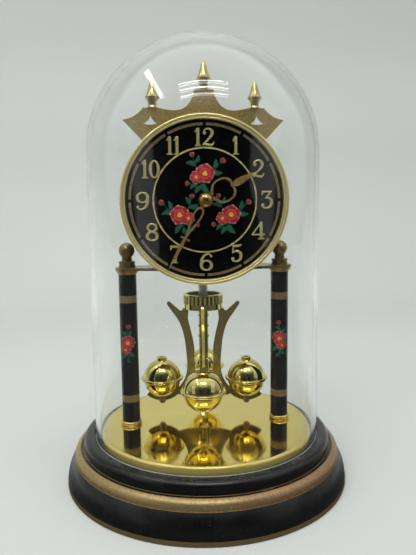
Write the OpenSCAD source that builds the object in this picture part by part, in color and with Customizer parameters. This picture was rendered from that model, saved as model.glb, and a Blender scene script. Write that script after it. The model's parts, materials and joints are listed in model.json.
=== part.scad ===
// Glass dome clock: a quartz anniversary clock with a four-ball rotary pendulum.
// Millimetres. Origin at the middle of the foot, +Z up, the dial faces -Y.

/* [Dome] */
// Outer diameter of the glass dome
dome_d = 140; // [130:1:160]
// Height of the glass dome
dome_h = 241.8; // [236:0.2:260]
// Thickness of the glass
dome_wall = 3; // [2:0.25:4]
// Radial room between the dome and the rim of its seat
dome_seat_gap = 1; // [0.5:0.1:2]

/* [Base] */
// Width of the upper tier's rim around the dome seat
rim_w = 6.3; // [5:0.1:9]
// Edge rounding of the upper tier
rim_round = 3.4; // [1:0.1:4.5]
// Height of the upper tier above the bead's middle
tier_h = 11; // [9:0.5:14]
// Depth of the seat that the dome and the brass plate stand in
seat_depth = 1.4; // [1:0.1:2.5]
// Rounding radius of the gilt bead
bead_r = 4.2; // [3:0.1:6]
// How far the bead's middle lies outside the upper tier
bead_out = 1.4; // [0.5:0.1:3]
// Height of the bead's middle above the lower tier
bead_rise = 1.5; // [0.5:0.1:2.5]
// How far the lower tier draws in from foot to bead
lower_draw = 4.6; // [3:0.1:9]
// Width of the ledge between the lower tier and the bead
bead_ledge = 0.3; // [0.1:0.1:1]
// Height of the lower tier above the foot line
lower_h = 13; // [10:0.5:20]
// Height of the gilt foot line
foot_line_h = 2.9; // [1.5:0.1:5]
// How far the foot line stands out from the lower tier
foot_line_out = 0.2; // [0.1:0.1:1]
// Thickness of the felt under the foot
felt_t = 1.2; // [0.8:0.1:2]
// How far the felt stands below the wood
felt_proud = 0.4; // [0.2:0.1:0.6]
// Width of the wooden ring left around the felt
felt_margin = 12; // [6:1:20]
// Thickness of the brass floor plate
plate_t = 1; // [0.5:0.1:1.2]
// Radial room between the brass plate and the dome
plate_gap = 0.7; // [0.4:0.1:1.5]
// Rounding of the plate's turned-down edge
plate_lip = 1.6; // [1.3:0.1:2]
// Height of the brass floor above the rim
floor_rise = 3.4; // [2:0.1:4.5]

/* [Columns] */
// Distance of the columns' plane in front of the dome's axis
works_front = 0; // [-2:0.5:6]
// Distance of each column from the middle
column_x = 47.9; // [46:0.1:50]
// Outer diameter of the column tube
column_d = 11.2; // [10:0.2:12]
// Wall of the column tube
column_wall = 1.2; // [0.8:0.1:1.6]
// Length of the column tube
column_l = 94.4; // [92:0.2:102]
// Diameter of the brass ring at the column's foot
foot_ring_d = 13.8; // [13:0.1:15]
// Height of the brass ring at the column's foot
foot_ring_h = 2.7; // [2.4:0.1:4]
// Height of the dish on top of the column
cap_h = 2.7; // [2.4:0.1:4]
// Diameter of the dish's rim
cap_d = 14.8; // [13:0.1:17]
// Diameter of the ball on the finial
finial_ball_d = 9.8; // [8:0.1:11]
// Diameter of the finial's collar
finial_collar_d = 10.2; // [9:0.1:12]
// Height of the finial's collar
finial_collar_h = 4; // [3:0.1:6]
// Height of the ball's middle above the bridge
finial_ball_rise = 10.1; // [9.4:0.1:12]
// Diameter of the tie rod
rod_d = 4; // [3:0.5:4.5]

/* [Bridge and movement] */
// Thickness of the bridge strip
bridge_t = 1.7; // [1.2:0.1:2.5]
// Depth of the bridge strip at its middle
bridge_w = 24; // [20:0.5:30]
// Width of the movement case
case_w = 62; // [58:0.5:66]
// Height of the movement case
case_h = 66; // [62:0.5:72]
// Reach of the movement case in front of the columns' plane
case_reach = 12.4; // [12:0.1:14]
// Reach of the movement case behind the columns' plane
case_back_reach = 25.8; // [25.6:0.1:28]
// Distance of the pendulum's axis behind the columns' plane
pendulum_back = 13.4; // [12:0.1:19]
// Wall of the movement case
case_wall = 1.6; // [1.4:0.1:2]
// Height of the hands' axis above the bridge
hand_rise = 39.9; // [38.6:0.1:43]
// Diameter of the setting knob
knob_d = 10; // [7:0.5:13]
// Diameter of the battery
battery_d = 14.2; // [13.5:0.1:14.5]
// Length of the battery over its terminals
battery_l = 50.1; // [48:0.1:50.5]

/* [Gear train] */
// Module of the wheels between motor and centre wheel
train_module = 0.3; // [0.26:0.01:0.3]
// Module of the wheels between minute and hour hand
motion_module = 0.4; // [0.36:0.01:0.4]
// Face width of every wheel and pinion
gear_w = 0.9; // [0.6:0.1:1]
// Axial room between neighbouring wheels
gear_gap = 0.4; // [0.3:0.05:0.5]

/* [Dial and hands] */
// Outer diameter of the bezel
bezel_d = 99.6; // [97:0.2:104]
// Width of the bezel's ring
bezel_w = 3.2; // [2.6:0.1:4]
// Depth of the bezel
bezel_depth = 4.2; // [3.6:0.1:6]
// Thickness of the dial plate
dial_t = 1; // [0.6:0.1:1.4]
// Outer radius of the minute track
track_r = 44.8; // [42.5:0.1:45]
// Width of the minute track
track_w = 1.5; // [1:0.1:2.5]
// Middle radius of the inner ring
inner_ring_r = 30.4; // [28:0.1:32]
// Width of the inner ring
inner_ring_w = 0.9; // [0.5:0.1:1.5]
// Height of track and ring above the dial
relief_h = 0.25; // [0.1:0.05:0.5]
// Length of the minute hand
minute_hand_l = 45; // [38:0.5:46]
// Length of the hour hand
hour_hand_l = 34.5; // [30:0.5:37]
// Thickness of the hands
hand_t = 0.5; // [0.3:0.1:0.7]
// Clockwise angle of the minute hand from twelve at rest
minute_rest = 209.3; // [0:0.1:360]
// Clockwise angle of the hour hand from twelve at rest
hour_rest = 61.5; // [0:0.1:360]

/* [Crest] */
// Thickness of the crest plate
crest_t = 1.2; // [1:0.1:1.6]
// Height of the crest's crown above the hands' axis
crown_z = 63.9; // [61:0.1:65]
// Half width of the crown
crown_x = 5.7; // [4.5:0.1:7]
// Height of the crest's shoulders above the hands' axis
shoulder_z = 53.1; // [52.4:0.1:55]
// Height of the crest's finials
spire_h = 15.7; // [13:0.1:18]

/* [Pendulum] */
// Drop from the bridge to the rim of the cup
cup_drop = 17.8; // [16:0.1:21]
// Outer diameter of the fluted cup
cup_d = 25.8; // [23:0.2:27]
// Height of the fluted cup
cup_h = 9.5; // [7:0.1:12]
// Number of flutes around the cup
cup_flutes = 28; // [12:1:30]
// Diameter of the chrome rod
spindle_rod_d = 6.2; // [4:0.1:7]
// Diameter of the turned column
pendulum_column_d = 6.2; // [4.5:0.1:6.4]
// Drop from the cup to the middle of the balls
ball_drop = 46.9; // [46:0.1:49]
// Distance of the balls from the axis
ball_offset = 28.2; // [27.5:0.1:29.5]
// Diameter of the balls
ball_d = 25.2; // [22:0.2:26]
// Wall of the balls
ball_wall = 1.6; // [1:0.1:2.5]
// How far the ring stands out around the balls
ball_ring = 1.6; // [1:0.1:2]
// Thickness of the four lyre arms
arm_t = 1.8; // [1.6:0.1:3.4]
// Turn of the pendulum at rest
pendulum_rest = -5.5; // [-45:0.5:45]

/* [Fits] */
// Radial room between pieces that are screwed or pushed together
fit = 0.05; // [0.03:0.01:0.1]
// Radial room of a shaft that turns
run_fit = 0.05; // [0.03:0.01:0.08]
// Radial room of a hole that a rod passes freely
rod_gap = 0.2; // [0.1:0.05:0.3]

/* [Hidden] */
$fn = 96;
// Overshoot of every cut past the face that it opens
cut = 1;

// Heights and radii of base and dome
dome_r = dome_d / 2;
lower_top = foot_line_h + lower_h;
bead_z = lower_top + bead_rise;
base_top = bead_z + tier_h;
seat_z = base_top - seat_depth;
seat_r = dome_r + dome_seat_gap;
tier_r = seat_r + rim_w;
bead_x = tier_r + bead_out;
lower_top_r = bead_x + sqrt(bead_r * bead_r - bead_rise * bead_rise) + bead_ledge;
lower_r = lower_top_r + lower_draw;
base_r = lower_r + foot_line_out;
lower_round = (lower_draw * lower_draw + lower_h * lower_h) / (2 * lower_draw);
felt_r = base_r - felt_margin;
plate_r = dome_r - dome_wall - plate_gap;
plate_top = base_top + floor_rise;
floor_z = plate_top - plate_t;
floor_r = plate_r - plate_lip - fit;
skirt_gap = 0.4;
skirt_z = seat_z + skirt_gap;

// Planes of the columns and of the pendulum
works_y = -works_front;
pendulum_y = works_y + pendulum_back;

// Heights along the columns
rod_r = rod_d / 2;
rod_hole_r = rod_r + rod_gap;
tube_r = column_d / 2;
tube_in_r = tube_r - column_wall;
ring_floor = 1.2;
tube_z0 = plate_top + ring_floor;
tube_z1 = tube_z0 + column_l;
bridge_z = tube_z1 + cap_h;
bridge_top = bridge_z + bridge_t;
finial_ball_z = bridge_top + finial_ball_rise;
spigot_h = 3;
neck_r = 3;
collar_groove = 0.6;
rod_top = bridge_top + finial_collar_h + 3;
nut_room_z = seat_z - 18;
nut_room_r = 7;
washer_t = 0.8;
washer_r = 4.5;
nut_h = 3.2;
nut_r = 4.04;
rod_bottom = nut_room_z - washer_t - nut_h - 1;

// Places along the hands' axis, counted from the columns' plane
dial_z = bridge_top + hand_rise;
case_z0 = bridge_top;
case_round = 4.5;
case_in_round = 1.4;
case_in_half = case_w / 2 - case_wall;
case_split_y = -2;
case_front_y = -case_reach;
case_in_y = case_front_y + case_wall;
case_back_y = case_back_reach;
case_rear_in_y = case_back_y - case_wall;
crest_y = case_front_y - crest_t;
dial_y = crest_y - dial_t;
bezel_r = bezel_d / 2;
bezel_in_r = bezel_r - bezel_w;
bezel_lip = 0.7;
dial_r = bezel_in_r + bezel_lip;
bush_r = 3.35;
bush_nut_h = 1.8;
bush_nut_r = 4.7;
bush_end_y = dial_y - bush_nut_h - 0.6;
minute_arbor_r = 1.5;
hour_pipe_r = 2.5;
hour_pipe_end_y = bush_end_y - 1.2;
hour_hand_y = bush_end_y - 0.4;
minute_hand_y = hour_pipe_end_y - 0.8;
hand_boss_r = 3.6;
hand_nut_r = 4.5;
hand_nut_h = 3.7;
minute_arbor_end_y = minute_hand_y - hand_t - 1.6;

// Layers of the gear train, counted from the front wall; each value is a layer's rear face
function layer_y(n) = case_in_y + n * (gear_w + gear_gap);
train_plate_y = layer_y(5) + 4.4;
train_plate_t = 1;
train_plate_back_y = train_plate_y + train_plate_t;
pivot_r = 0.5;
pivot_depth = 0.7;
pivot_hole_depth = 0.85;

// Tooth numbers
centre_n = 90;
third_n = 72;
second_n = 60;
train_pinion_n = 6;
cannon_n = 12;
motion_n = 36;
motion_pinion_n = 10;
hour_n = 40;
setter_n = 12;
hour_module = motion_module * (cannon_n + motion_n) / (motion_pinion_n + hour_n);

// Directions from arbor to arbor and the places that follow, seen from the front, about the hands' axis
third_dir = -165;
second_dir = -95;
rotor_dir = -80;
motion_dir = 135;
function along(angle, length) = [length * cos(angle), length * sin(angle)];
function centres(n_a, n_b, m) = m * (n_a + n_b) / 2;
hands_at = [0, 0];
third_at = along(third_dir, centres(centre_n, train_pinion_n, train_module));
second_at = third_at + along(second_dir, centres(third_n, train_pinion_n, train_module));
rotor_at = second_at + along(rotor_dir, centres(second_n, train_pinion_n, train_module));
motion_at = along(motion_dir, centres(cannon_n, motion_n, motion_module));
setter_at = motion_at + along(motion_dir, centres(motion_n, setter_n, motion_module));
centre_bore_r = 0.9;
motion_stud_r = 0.75;
setter_arbor_r = 1;
rotor_magnet_r = 2.6;
rotor_magnet_h = 2;
post_r = 1.6;
post_pin_r = 0.8;
post_x = -(case_in_half - 2.4);
post_places = [[post_x, 8.5], [6, -19.5], [post_x, -26.5]];

// Motor, board, battery and pendulum drive inside the case
stator_t = 1.2;
stator_y = layer_y(5) + 1.6;
stator_hole_r = 3.1;
stator_w = 13;
stator_rise = 4.6;
stator_leg_w = 2;
motor_coil_l = 8.6;
motor_coil_r = 2.9;
motor_coil_drop = 8.2;
motor_core_r = 1.3;
board_t = 1;
board_y = train_plate_back_y + 1.5;
board_z0 = -20;
board_z1 = 9;
board_post_r = 1.5;
battery_r = battery_d / 2;
battery_x = case_in_half - 0.9 - battery_r;
works_right = battery_x - battery_r - 2.3;
board_x0 = -(case_in_half - 1.4);
board_x1 = works_right;
board_posts = [[board_x0 + 3, -16], [6, 5]];
battery_y = case_back_y - 1.7 - battery_r;
contact_t = 0.4;
battery_z0 = case_z0 + case_wall + contact_t + 0.1;
battery_nub_r = 2.7;
battery_nub_h = 1.6;
battery_room = 0.35;
bay_top = battery_z0 + battery_l + contact_t + 0.6;
case_post_r = 2.2;
case_screw_x = -(case_in_half - case_post_r - 0.2);
case_screw_rise = 3.9;
case_screw_places = [
    [case_screw_x, case_screw_rise], [case_screw_x, case_h - case_screw_rise],
    [8, case_h - case_screw_rise]
];
case_screw_r = 1.1;
case_screw_head_r = 2;
case_screw_head_h = 1.2;
bridge_screw_x = 9;
bridge_screw_y = 4.5;
bridge_screw_r = 1.2;
bridge_screw_head_r = 2.4;
bridge_screw_head_h = 1.6;
bridge_boss_r = 2.2;
bridge_boss_h = 1.8;
spindle_r = 1.5;
bearing_r = 3;
bearing_flange_r = 4;
bearing_flange_t = 0.8;
bearing_top = case_z0 + case_wall + bearing_flange_t;
collar_r = 2.6;
collar_t = 1.2;
collar_z = bearing_top + run_fit;
magnet_r = 4.6;
magnet_t = 2.4;
magnet_z = collar_z + collar_t;
spindle_top = magnet_z + magnet_t + 0.4;
drive_coil_r = 5;
drive_coil_in_r = 1.9;
drive_coil_t = 4;
drive_coil_z = spindle_top + 1.4;
shelf_z = drive_coil_z + drive_coil_t;
shelf_t = 1.4;
shelf_w = 12;
shelf_y = pendulum_back - drive_coil_r - 0.2;
tongue_x = 14;
tongue_y = pendulum_back + 6.4;

// Heights and radii of the pendulum
cup_top = bridge_z - cup_drop;
cup_under = cup_top - cup_h;
cup_r = cup_d / 2;
cup_wall = 2;
cup_floor_t = 1.6;
cup_rim_h = 0.8;
cup_band_h = 3.4;
flute_r = 1;
spindle_rod_r = spindle_rod_d / 2;
spindle_rod_top = bridge_z - 0.5;
pendulum_column_r = pendulum_column_d / 2;
ball_r = ball_d / 2;
ball_z = cup_under - ball_drop;
ball_ring_half = 1;
ball_button_r = 3.4;
ball_button_h = 1.4;
cradle_r = ball_r + 2.8;
cradle_end = -48;
boss_r = 2.2;
boss_z = ball_z - ball_r - 3.8;
ball_screw_r = 0.8;
ball_screw_head_r = 1.6;
ball_screw_head_h = 0.7;
column_foot_z = ball_z - ball_r - 1.5;
column_ring_drops = [4.7, 11.8, 18.6];
column_ring_r = pendulum_column_r + 0.7;
column_ring_h = 0.8;
arm_root_r = column_ring_r + fit;
quarter_turns = [-90, 180, 90, 0];

// Points of a cubic curve from a to d, drawn towards b and c
curve_steps = 8;
function curve(a, b, c, d) = [
    for (i = [0 : curve_steps])
        let (t = i / curve_steps, u = 1 - t)
            u * u * u * a + 3 * u * u * t * b + 3 * u * t * t * c + t * t * t * d
];
function mirrored(points) = [for (i = [len(points) - 1 : -1 : 0]) [-points[i].x, points[i].y]];

// Placing helpers
module in_works() {
    translate([0, works_y, 0]) children();
}

module at_column(side) {
    in_works() translate([side * column_x, 0, 0]) children();
}

module at_pendulum() {
    translate([0, pendulum_y, 0]) children();
}

// Lays a drawing on a plane that faces the viewer, about an arbor's place; solids grow towards the viewer
module facing(y, place = hands_at) {
    in_works() translate([place.x, y, dial_z + place.y]) rotate([90, 0, 0]) children();
}

// A rod along the hands' axis from y0 at the front to y1 at the rear
module rod_along(place, r, y0, y1) {
    facing(y1, place) cylinder(r = r, h = y1 - y0);
}

// An upright cylinder from z0 to z1
module upright(r, z0, z1) {
    translate([0, 0, z0]) cylinder(r = r, h = z1 - z0);
}

module ring_2d(r_in, r_out, z0, z1) {
    translate([r_in, z0]) square([r_out - r_in, z1 - z0]);
}

module rounded_rect(w, h, r) {
    translate([-w / 2 + r, 0]) square([w - 2 * r, h]);
    translate([-w / 2, r]) square([w, h - 2 * r]);
    for (x = [-w / 2 + r, w / 2 - r], z = [r, h - r]) translate([x, z]) circle(r);
}

// Straight-flanked gear with one tooth on the drawing's +x axis, turned by phase
tooth_add = 0.8;
tooth_ded = 1;
root_share = 0.3;
tip_share = 0.09;
module gear_2d(n, m, phase) {
    r_tip = m * (n / 2 + tooth_add);
    r_root = m * (n / 2 - tooth_ded);
    pitch = 360 / n;
    rotate(phase) polygon([
        for (i = [0 : n - 1])
            each [
                along(pitch * (i - root_share), r_root),
                along(pitch * (i - tip_share), r_tip),
                along(pitch * (i + tip_share), r_tip),
                along(pitch * (i + root_share), r_root)
            ]
    ]);
}

module wheel(place, layer, n, m, phase) {
    facing(layer_y(layer), place) linear_extrude(gear_w) gear_2d(n, m, phase);
}

// Arbor that turns between the front wall and the train plate
module arbor(place) {
    rod_along(place, pivot_r, case_in_y - pivot_depth, train_plate_back_y);
}

// Base
module base_profile() {
    difference() {
        union() {
            ring_2d(0, base_r, felt_proud, foot_line_h);
            intersection() {
                union() {
                    ring_2d(0, lower_r - lower_round, foot_line_h, lower_top);
                    translate([lower_r - lower_round, foot_line_h]) circle(lower_round);
                }
                ring_2d(0, base_r, foot_line_h, lower_top);
            }
            ring_2d(0, bead_x, lower_top, bead_z);
            intersection() {
                translate([bead_x, bead_z]) circle(bead_r);
                ring_2d(bead_x - bead_r, bead_x + bead_r, lower_top, bead_z + bead_r);
            }
            ring_2d(0, tier_r, bead_z, base_top - rim_round);
            ring_2d(0, tier_r - rim_round, base_top - rim_round, base_top);
            translate([tier_r - rim_round, base_top - rim_round]) circle(rim_round);
        }
        ring_2d(0, seat_r, seat_z, base_top + cut);
        ring_2d(0, felt_r, felt_proud - cut, felt_t);
    }
    ring_2d(0, floor_r, lower_top, floor_z);
}

module base_body() {
    color("#1b1b1d") difference() {
        rotate_extrude() base_profile();
        for (side = [-1, 1]) at_column(side) {
            upright(rod_hole_r, felt_t - cut, floor_z + cut);
            upright(nut_room_r, felt_t - cut, nut_room_z);
        }
    }
}

module base_felt() {
    color("#2c3a2c") upright(felt_r - fit, 0, felt_t);
}

// Section of a shallow pan turned upside down
module pan_profile(r, low, top, rounding) {
    ring_2d(0, r - rounding, low, top);
    ring_2d(0, r, low, top - rounding);
    translate([r - rounding, top - rounding]) circle(rounding);
}

// Pressed sheet whose edge is turned down over the wooden floor
module base_plate() {
    color("#c9ab5a") difference() {
        rotate_extrude() difference() {
            pan_profile(plate_r, skirt_z, plate_top, plate_lip);
            pan_profile(plate_r - plate_t, skirt_z - cut, floor_z, plate_lip - plate_t);
        }
        for (side = [-1, 1]) at_column(side) upright(rod_hole_r, floor_z - cut, plate_top + cut);
    }
}

// Columns
module foot_ring(side) {
    half = foot_ring_h / 2;
    middle = foot_ring_d / 2 - half;
    top = plate_top + foot_ring_h;
    color("#d9b24c") at_column(side) rotate_extrude() difference() {
        union() {
            ring_2d(rod_hole_r, middle, plate_top, top);
            translate([middle, plate_top + half]) circle(half);
        }
        ring_2d(0, tube_r + fit, tube_z0, top + cut);
    }
}

module column_tube(side) {
    color("#111111") at_column(side) rotate_extrude() ring_2d(tube_in_r, tube_r, tube_z0, tube_z1);
}

module column_cap(side) {
    rim = 0.8;
    color("#9a7a3c") at_column(side) rotate_extrude() polygon([
        [rod_hole_r, tube_z1 - spigot_h], [tube_in_r - fit, tube_z1 - spigot_h], [tube_in_r - fit, tube_z1],
        [tube_r, tube_z1], [cap_d / 2 - rim / 2, bridge_z - rim], [cap_d / 2, bridge_z],
        [rod_hole_r, bridge_z]
    ]);
}

module ball_finial(side) {
    collar_r = finial_collar_d / 2;
    collar_top = bridge_top + finial_collar_h;
    waist_z = bridge_top + finial_collar_h / 2;
    color("#8f7740") at_column(side) difference() {
        rotate_extrude() {
            ring_2d(0, collar_r, bridge_top, waist_z - collar_groove / 2);
            ring_2d(0, collar_r - collar_groove, waist_z - collar_groove / 2, waist_z + collar_groove / 2);
            polygon([
                [0, waist_z + collar_groove / 2], [collar_r, waist_z + collar_groove / 2],
                [collar_r, collar_top - collar_groove], [neck_r + collar_groove, collar_top], [0, collar_top]
            ]);
            ring_2d(0, neck_r, collar_top, finial_ball_z - finial_ball_d / 4);
            ring_2d(0, neck_r + collar_groove / 2,
                collar_top + collar_groove, collar_top + 2 * collar_groove);
            intersection() {
                translate([0, finial_ball_z]) circle(finial_ball_d / 2);
                ring_2d(0, finial_ball_d, finial_ball_z - finial_ball_d, finial_ball_z + finial_ball_d);
            }
        }
        upright(rod_r + fit, bridge_top - cut, rod_top + fit);
    }
}

module tie_rod(side) {
    color("#b0b0b0") at_column(side) upright(rod_r, rod_bottom, rod_top);
}

module tie_rod_washers() {
    color("#c0c0c0") for (side = [-1, 1]) at_column(side)
        rotate_extrude() ring_2d(rod_hole_r, washer_r, nut_room_z - washer_t, nut_room_z);
}

module tie_rod_nuts() {
    color("#c0a050") for (side = [-1, 1]) at_column(side) difference() {
        translate([0, 0, nut_room_z - washer_t - nut_h]) cylinder(r = nut_r, h = nut_h, $fn = 6);
        upright(rod_r + fit, rod_bottom - cut, nut_room_z + cut);
    }
}

// Bridge
module bridge_outline() {
    end_r = cap_d / 2;
    straight_x = 0.6 * column_x;
    polygon([
        [-column_x, -end_r], [-straight_x, -bridge_w / 2], [straight_x, -bridge_w / 2], [column_x, -end_r],
        [column_x, end_r], [straight_x, bridge_w / 2], [tongue_x, bridge_w / 2], [tongue_x, tongue_y],
        [-tongue_x, tongue_y], [-tongue_x, bridge_w / 2], [-straight_x, bridge_w / 2], [-column_x, end_r]
    ]);
    for (side = [-1, 1]) translate([side * column_x, 0]) circle(end_r);
}

module movement_bridge() {
    color("#a98a48") translate([0, works_y, bridge_z]) linear_extrude(bridge_t) difference() {
        bridge_outline();
        for (side = [-1, 1]) {
            translate([side * column_x, 0]) circle(rod_hole_r);
            translate([side * bridge_screw_x, bridge_screw_y]) circle(bridge_screw_r + rod_gap);
        }
        translate([0, pendulum_back]) circle(spindle_r + 3 * rod_gap);
    }
}

module bridge_screws() {
    color("#c0c0c0") in_works() for (side = [-1, 1]) translate([side * bridge_screw_x, bridge_screw_y, 0]) {
        upright(bridge_screw_r, bridge_z, case_z0 + case_wall + bridge_boss_h);
        upright(bridge_screw_head_r, bridge_z - bridge_screw_head_h, bridge_z);
    }
}

// Movement case
module case_shell(y0, y1, wall_y0, wall_y1) {
    inner_h = case_h - 2 * case_wall;
    difference() {
        translate([0, works_y + y1, case_z0]) rotate([90, 0, 0]) linear_extrude(y1 - y0)
            rounded_rect(case_w, case_h, case_round);
        translate([0, works_y + wall_y1, case_z0 + case_wall]) rotate([90, 0, 0])
            linear_extrude(wall_y1 - wall_y0)
                rounded_rect(2 * case_in_half, inner_h, case_in_round);
        at_pendulum() upright(bearing_r + fit, case_z0 - cut, case_z0 + case_wall + cut);
    }
}

module on_case(place, r, y0, y1) {
    in_works() translate([place.x, y1, case_z0 + place.y]) rotate([90, 0, 0]) cylinder(r = r, h = y1 - y0);
}

module case_front() {
    color("#202224") difference() {
        union() {
            case_shell(case_front_y, case_split_y, case_in_y, case_split_y + cut);
            rod_along(hands_at, bush_r, bush_end_y, case_in_y);
            rod_along(motion_at, motion_stud_r, case_in_y, layer_y(2) + gear_gap / 2);
            for (place = post_places) {
                rod_along(place, post_r, case_in_y, train_plate_y);
                rod_along(place, post_pin_r, case_in_y, train_plate_back_y);
            }
            for (place = case_screw_places) on_case(place, case_post_r, case_in_y, case_split_y);
        }
        rod_along(hands_at, hour_pipe_r + run_fit, bush_end_y - cut, case_in_y + cut);
        for (place = [third_at, second_at, rotor_at, setter_at])
            rod_along(place, pivot_r + run_fit, case_in_y - pivot_hole_depth, case_in_y + cut);
        for (place = case_screw_places) on_case(place, case_screw_r, case_in_y, case_split_y + cut);
    }
}

module case_back() {
    bay_z0 = battery_z0 - battery_room;
    color("#26282a") difference() {
        union() {
            case_shell(case_split_y, case_back_y, case_split_y - cut, case_rear_in_y);
            for (place = case_screw_places) on_case(place, case_post_r, case_split_y, case_rear_in_y);
            for (place = board_posts) rod_along(place, board_post_r, board_y + board_t, case_rear_in_y);
            in_works() for (side = [-1, 1]) translate([side * bridge_screw_x, bridge_screw_y, 0])
                upright(bridge_boss_r, case_z0, case_z0 + case_wall + bridge_boss_h);
            in_works() translate([-shelf_w / 2, shelf_y, shelf_z])
                cube([shelf_w, case_rear_in_y - shelf_y + cut, shelf_t]);
        }
        in_works() translate([battery_x - battery_r - battery_room, battery_y, bay_z0])
            cube([battery_d + 2 * battery_room, case_back_y - battery_y + cut, bay_top - bay_z0]);
        rod_along(setter_at, setter_arbor_r + run_fit, case_rear_in_y - cut, case_back_y + cut);
        for (place = case_screw_places) {
            on_case(place, case_screw_r + fit, case_split_y - cut, case_back_y + cut);
            on_case(place, case_screw_head_r + fit, case_back_y - case_screw_head_h, case_back_y + cut);
        }
        in_works() for (side = [-1, 1]) translate([side * bridge_screw_x, bridge_screw_y, 0])
            upright(bridge_screw_r + fit, case_z0 - cut, case_z0 + case_wall + bridge_boss_h + cut);
    }
}

module case_screws() {
    thread_y = case_split_y - 4;
    color("#b8b8b8") for (place = case_screw_places) {
        on_case(place, case_screw_r, thread_y, case_back_y);
        on_case(place, case_screw_head_r, case_back_y - case_screw_head_h, case_back_y);
    }
}

// Works inside the case
module train_plate() {
    left = post_x - post_r - 0.4;
    color("#d8d4c8") facing(train_plate_back_y) linear_extrude(train_plate_t) difference() {
        polygon([
            [left, -30], [-8, -30], [-8, -22], [works_right, -22], [works_right, 3],
            [4, 15.6], [-15.5, 15.6], [left, 10.4]
        ]);
        translate(hands_at) circle(centre_bore_r + run_fit);
        for (place = [third_at, second_at, rotor_at]) translate(place) circle(pivot_r + run_fit);
        for (place = post_places) translate(place) circle(post_pin_r + fit);
        translate(setter_at) circle(setter_arbor_r + rod_gap);
    }
}

module circuit_board() {
    chip = [9, 9, 1.4];
    crystal_r = 1;
    crystal_l = 6;
    color("#2f6b3c") {
        facing(board_y + board_t) linear_extrude(board_t)
            translate([board_x0, board_z0]) square([board_x1 - board_x0, board_z1 - board_z0]);
        facing(board_y + board_t + chip.z) translate([-12, -9, 0]) cube(chip);
        in_works() translate([-2, board_y + board_t + crystal_r / 2, dial_z + board_z0 + 4])
            cylinder(r = crystal_r, h = crystal_l);
    }
}

module motor_stator() {
    core_z = rotor_at.y - motor_coil_drop;
    core_h = 2 * stator_t;
    color("#9a9ca0") facing(stator_y + stator_t) linear_extrude(stator_t) difference() {
        translate([rotor_at.x - stator_w / 2, 0]) {
            translate([0, rotor_at.y - stator_rise]) square([stator_w, 2 * stator_rise]);
            for (x = [0, stator_w - stator_leg_w])
                translate([x, core_z - core_h / 2]) square([stator_leg_w, motor_coil_drop + core_h / 2]);
            translate([0, core_z - core_h / 4]) square([stator_w, core_h / 2]);
        }
        translate(rotor_at) circle(stator_hole_r);
    }
}

module motor_coil() {
    color("#b5652d") in_works() translate([rotor_at.x - motor_coil_l / 2, stator_y + stator_t / 2,
        dial_z + rotor_at.y - motor_coil_drop]) rotate([0, 90, 0])
        linear_extrude(motor_coil_l) difference() {
            circle(motor_coil_r);
            circle(motor_core_r);
        }
}

module rotor() {
    magnet_y = layer_y(5) + 0.8;
    color("#4a4d52") {
        arbor(rotor_at);
        wheel(rotor_at, 5, train_pinion_n, train_module, rotor_dir + 180 + 180 / train_pinion_n);
        rod_along(rotor_at, rotor_magnet_r, magnet_y, magnet_y + rotor_magnet_h);
    }
}

module second_wheel() {
    color("#e6e2d6") {
        arbor(second_at);
        wheel(second_at, 5, second_n, train_module, rotor_dir);
        wheel(second_at, 4, train_pinion_n, train_module, second_dir + 180 + 180 / train_pinion_n);
    }
}

module third_wheel() {
    color("#e6e2d6") {
        arbor(third_at);
        wheel(third_at, 4, third_n, train_module, second_dir);
        wheel(third_at, 3, train_pinion_n, train_module, third_dir + 180 + 180 / train_pinion_n);
    }
}

module centre_wheel() {
    hub_r = 2.6;
    color("#e6e2d6") difference() {
        union() {
            wheel(hands_at, 3, centre_n, train_module, third_dir);
            rod_along(hands_at, hub_r, layer_y(3) - gear_w, layer_y(3) + 2 * gear_w);
        }
        rod_along(hands_at, centre_bore_r + run_fit, case_in_y, train_plate_y);
    }
}

module minute_arbor() {
    color("#b89a55") {
        rod_along(hands_at, minute_arbor_r, minute_arbor_end_y, layer_y(2));
        wheel(hands_at, 2, cannon_n, motion_module, motion_dir);
        rod_along(hands_at, centre_bore_r, layer_y(2), train_plate_back_y);
    }
}

module hour_wheel() {
    color("#e6e2d6") difference() {
        union() {
            wheel(hands_at, 1, hour_n, hour_module, motion_dir + 180 / hour_n);
            rod_along(hands_at, hour_pipe_r, hour_pipe_end_y, layer_y(1));
        }
        rod_along(hands_at, minute_arbor_r + run_fit, hour_pipe_end_y - cut, layer_y(1) + cut);
    }
}

module motion_wheel() {
    color("#e6e2d6") difference() {
        union() {
            wheel(motion_at, 2, motion_n, motion_module, motion_dir + 180 + 180 / motion_n);
            wheel(motion_at, 1, motion_pinion_n, hour_module, motion_dir + 180);
            rod_along(motion_at, motion_stud_r + gear_w, layer_y(1) - gear_w, layer_y(2));
        }
        rod_along(motion_at, motion_stud_r + run_fit, case_in_y - cut, layer_y(2) + cut);
    }
}

module setting_knob() {
    knob_h = 4;
    knob_y = case_back_y + 0.4;
    grips = 18;
    color("#1f1f1f") {
        rod_along(setter_at, pivot_r, case_in_y - pivot_depth, layer_y(2));
        wheel(setter_at, 2, setter_n, motion_module, motion_dir + 180);
        rod_along(setter_at, setter_arbor_r, layer_y(2), knob_y);
        facing(knob_y + knob_h, setter_at) linear_extrude(knob_h) difference() {
            circle(knob_d / 2);
            for (i = [0 : grips - 1]) translate(along(i * 360 / grips, knob_d / 2 + 0.2)) circle(0.6);
        }
    }
}

module battery() {
    color("#3c5a86") in_works() translate([battery_x, battery_y, 0]) {
        upright(battery_r, battery_z0, battery_z0 + battery_l - battery_nub_h);
        upright(battery_nub_r, battery_z0 + battery_l - battery_nub_h, battery_z0 + battery_l);
    }
}

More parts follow.
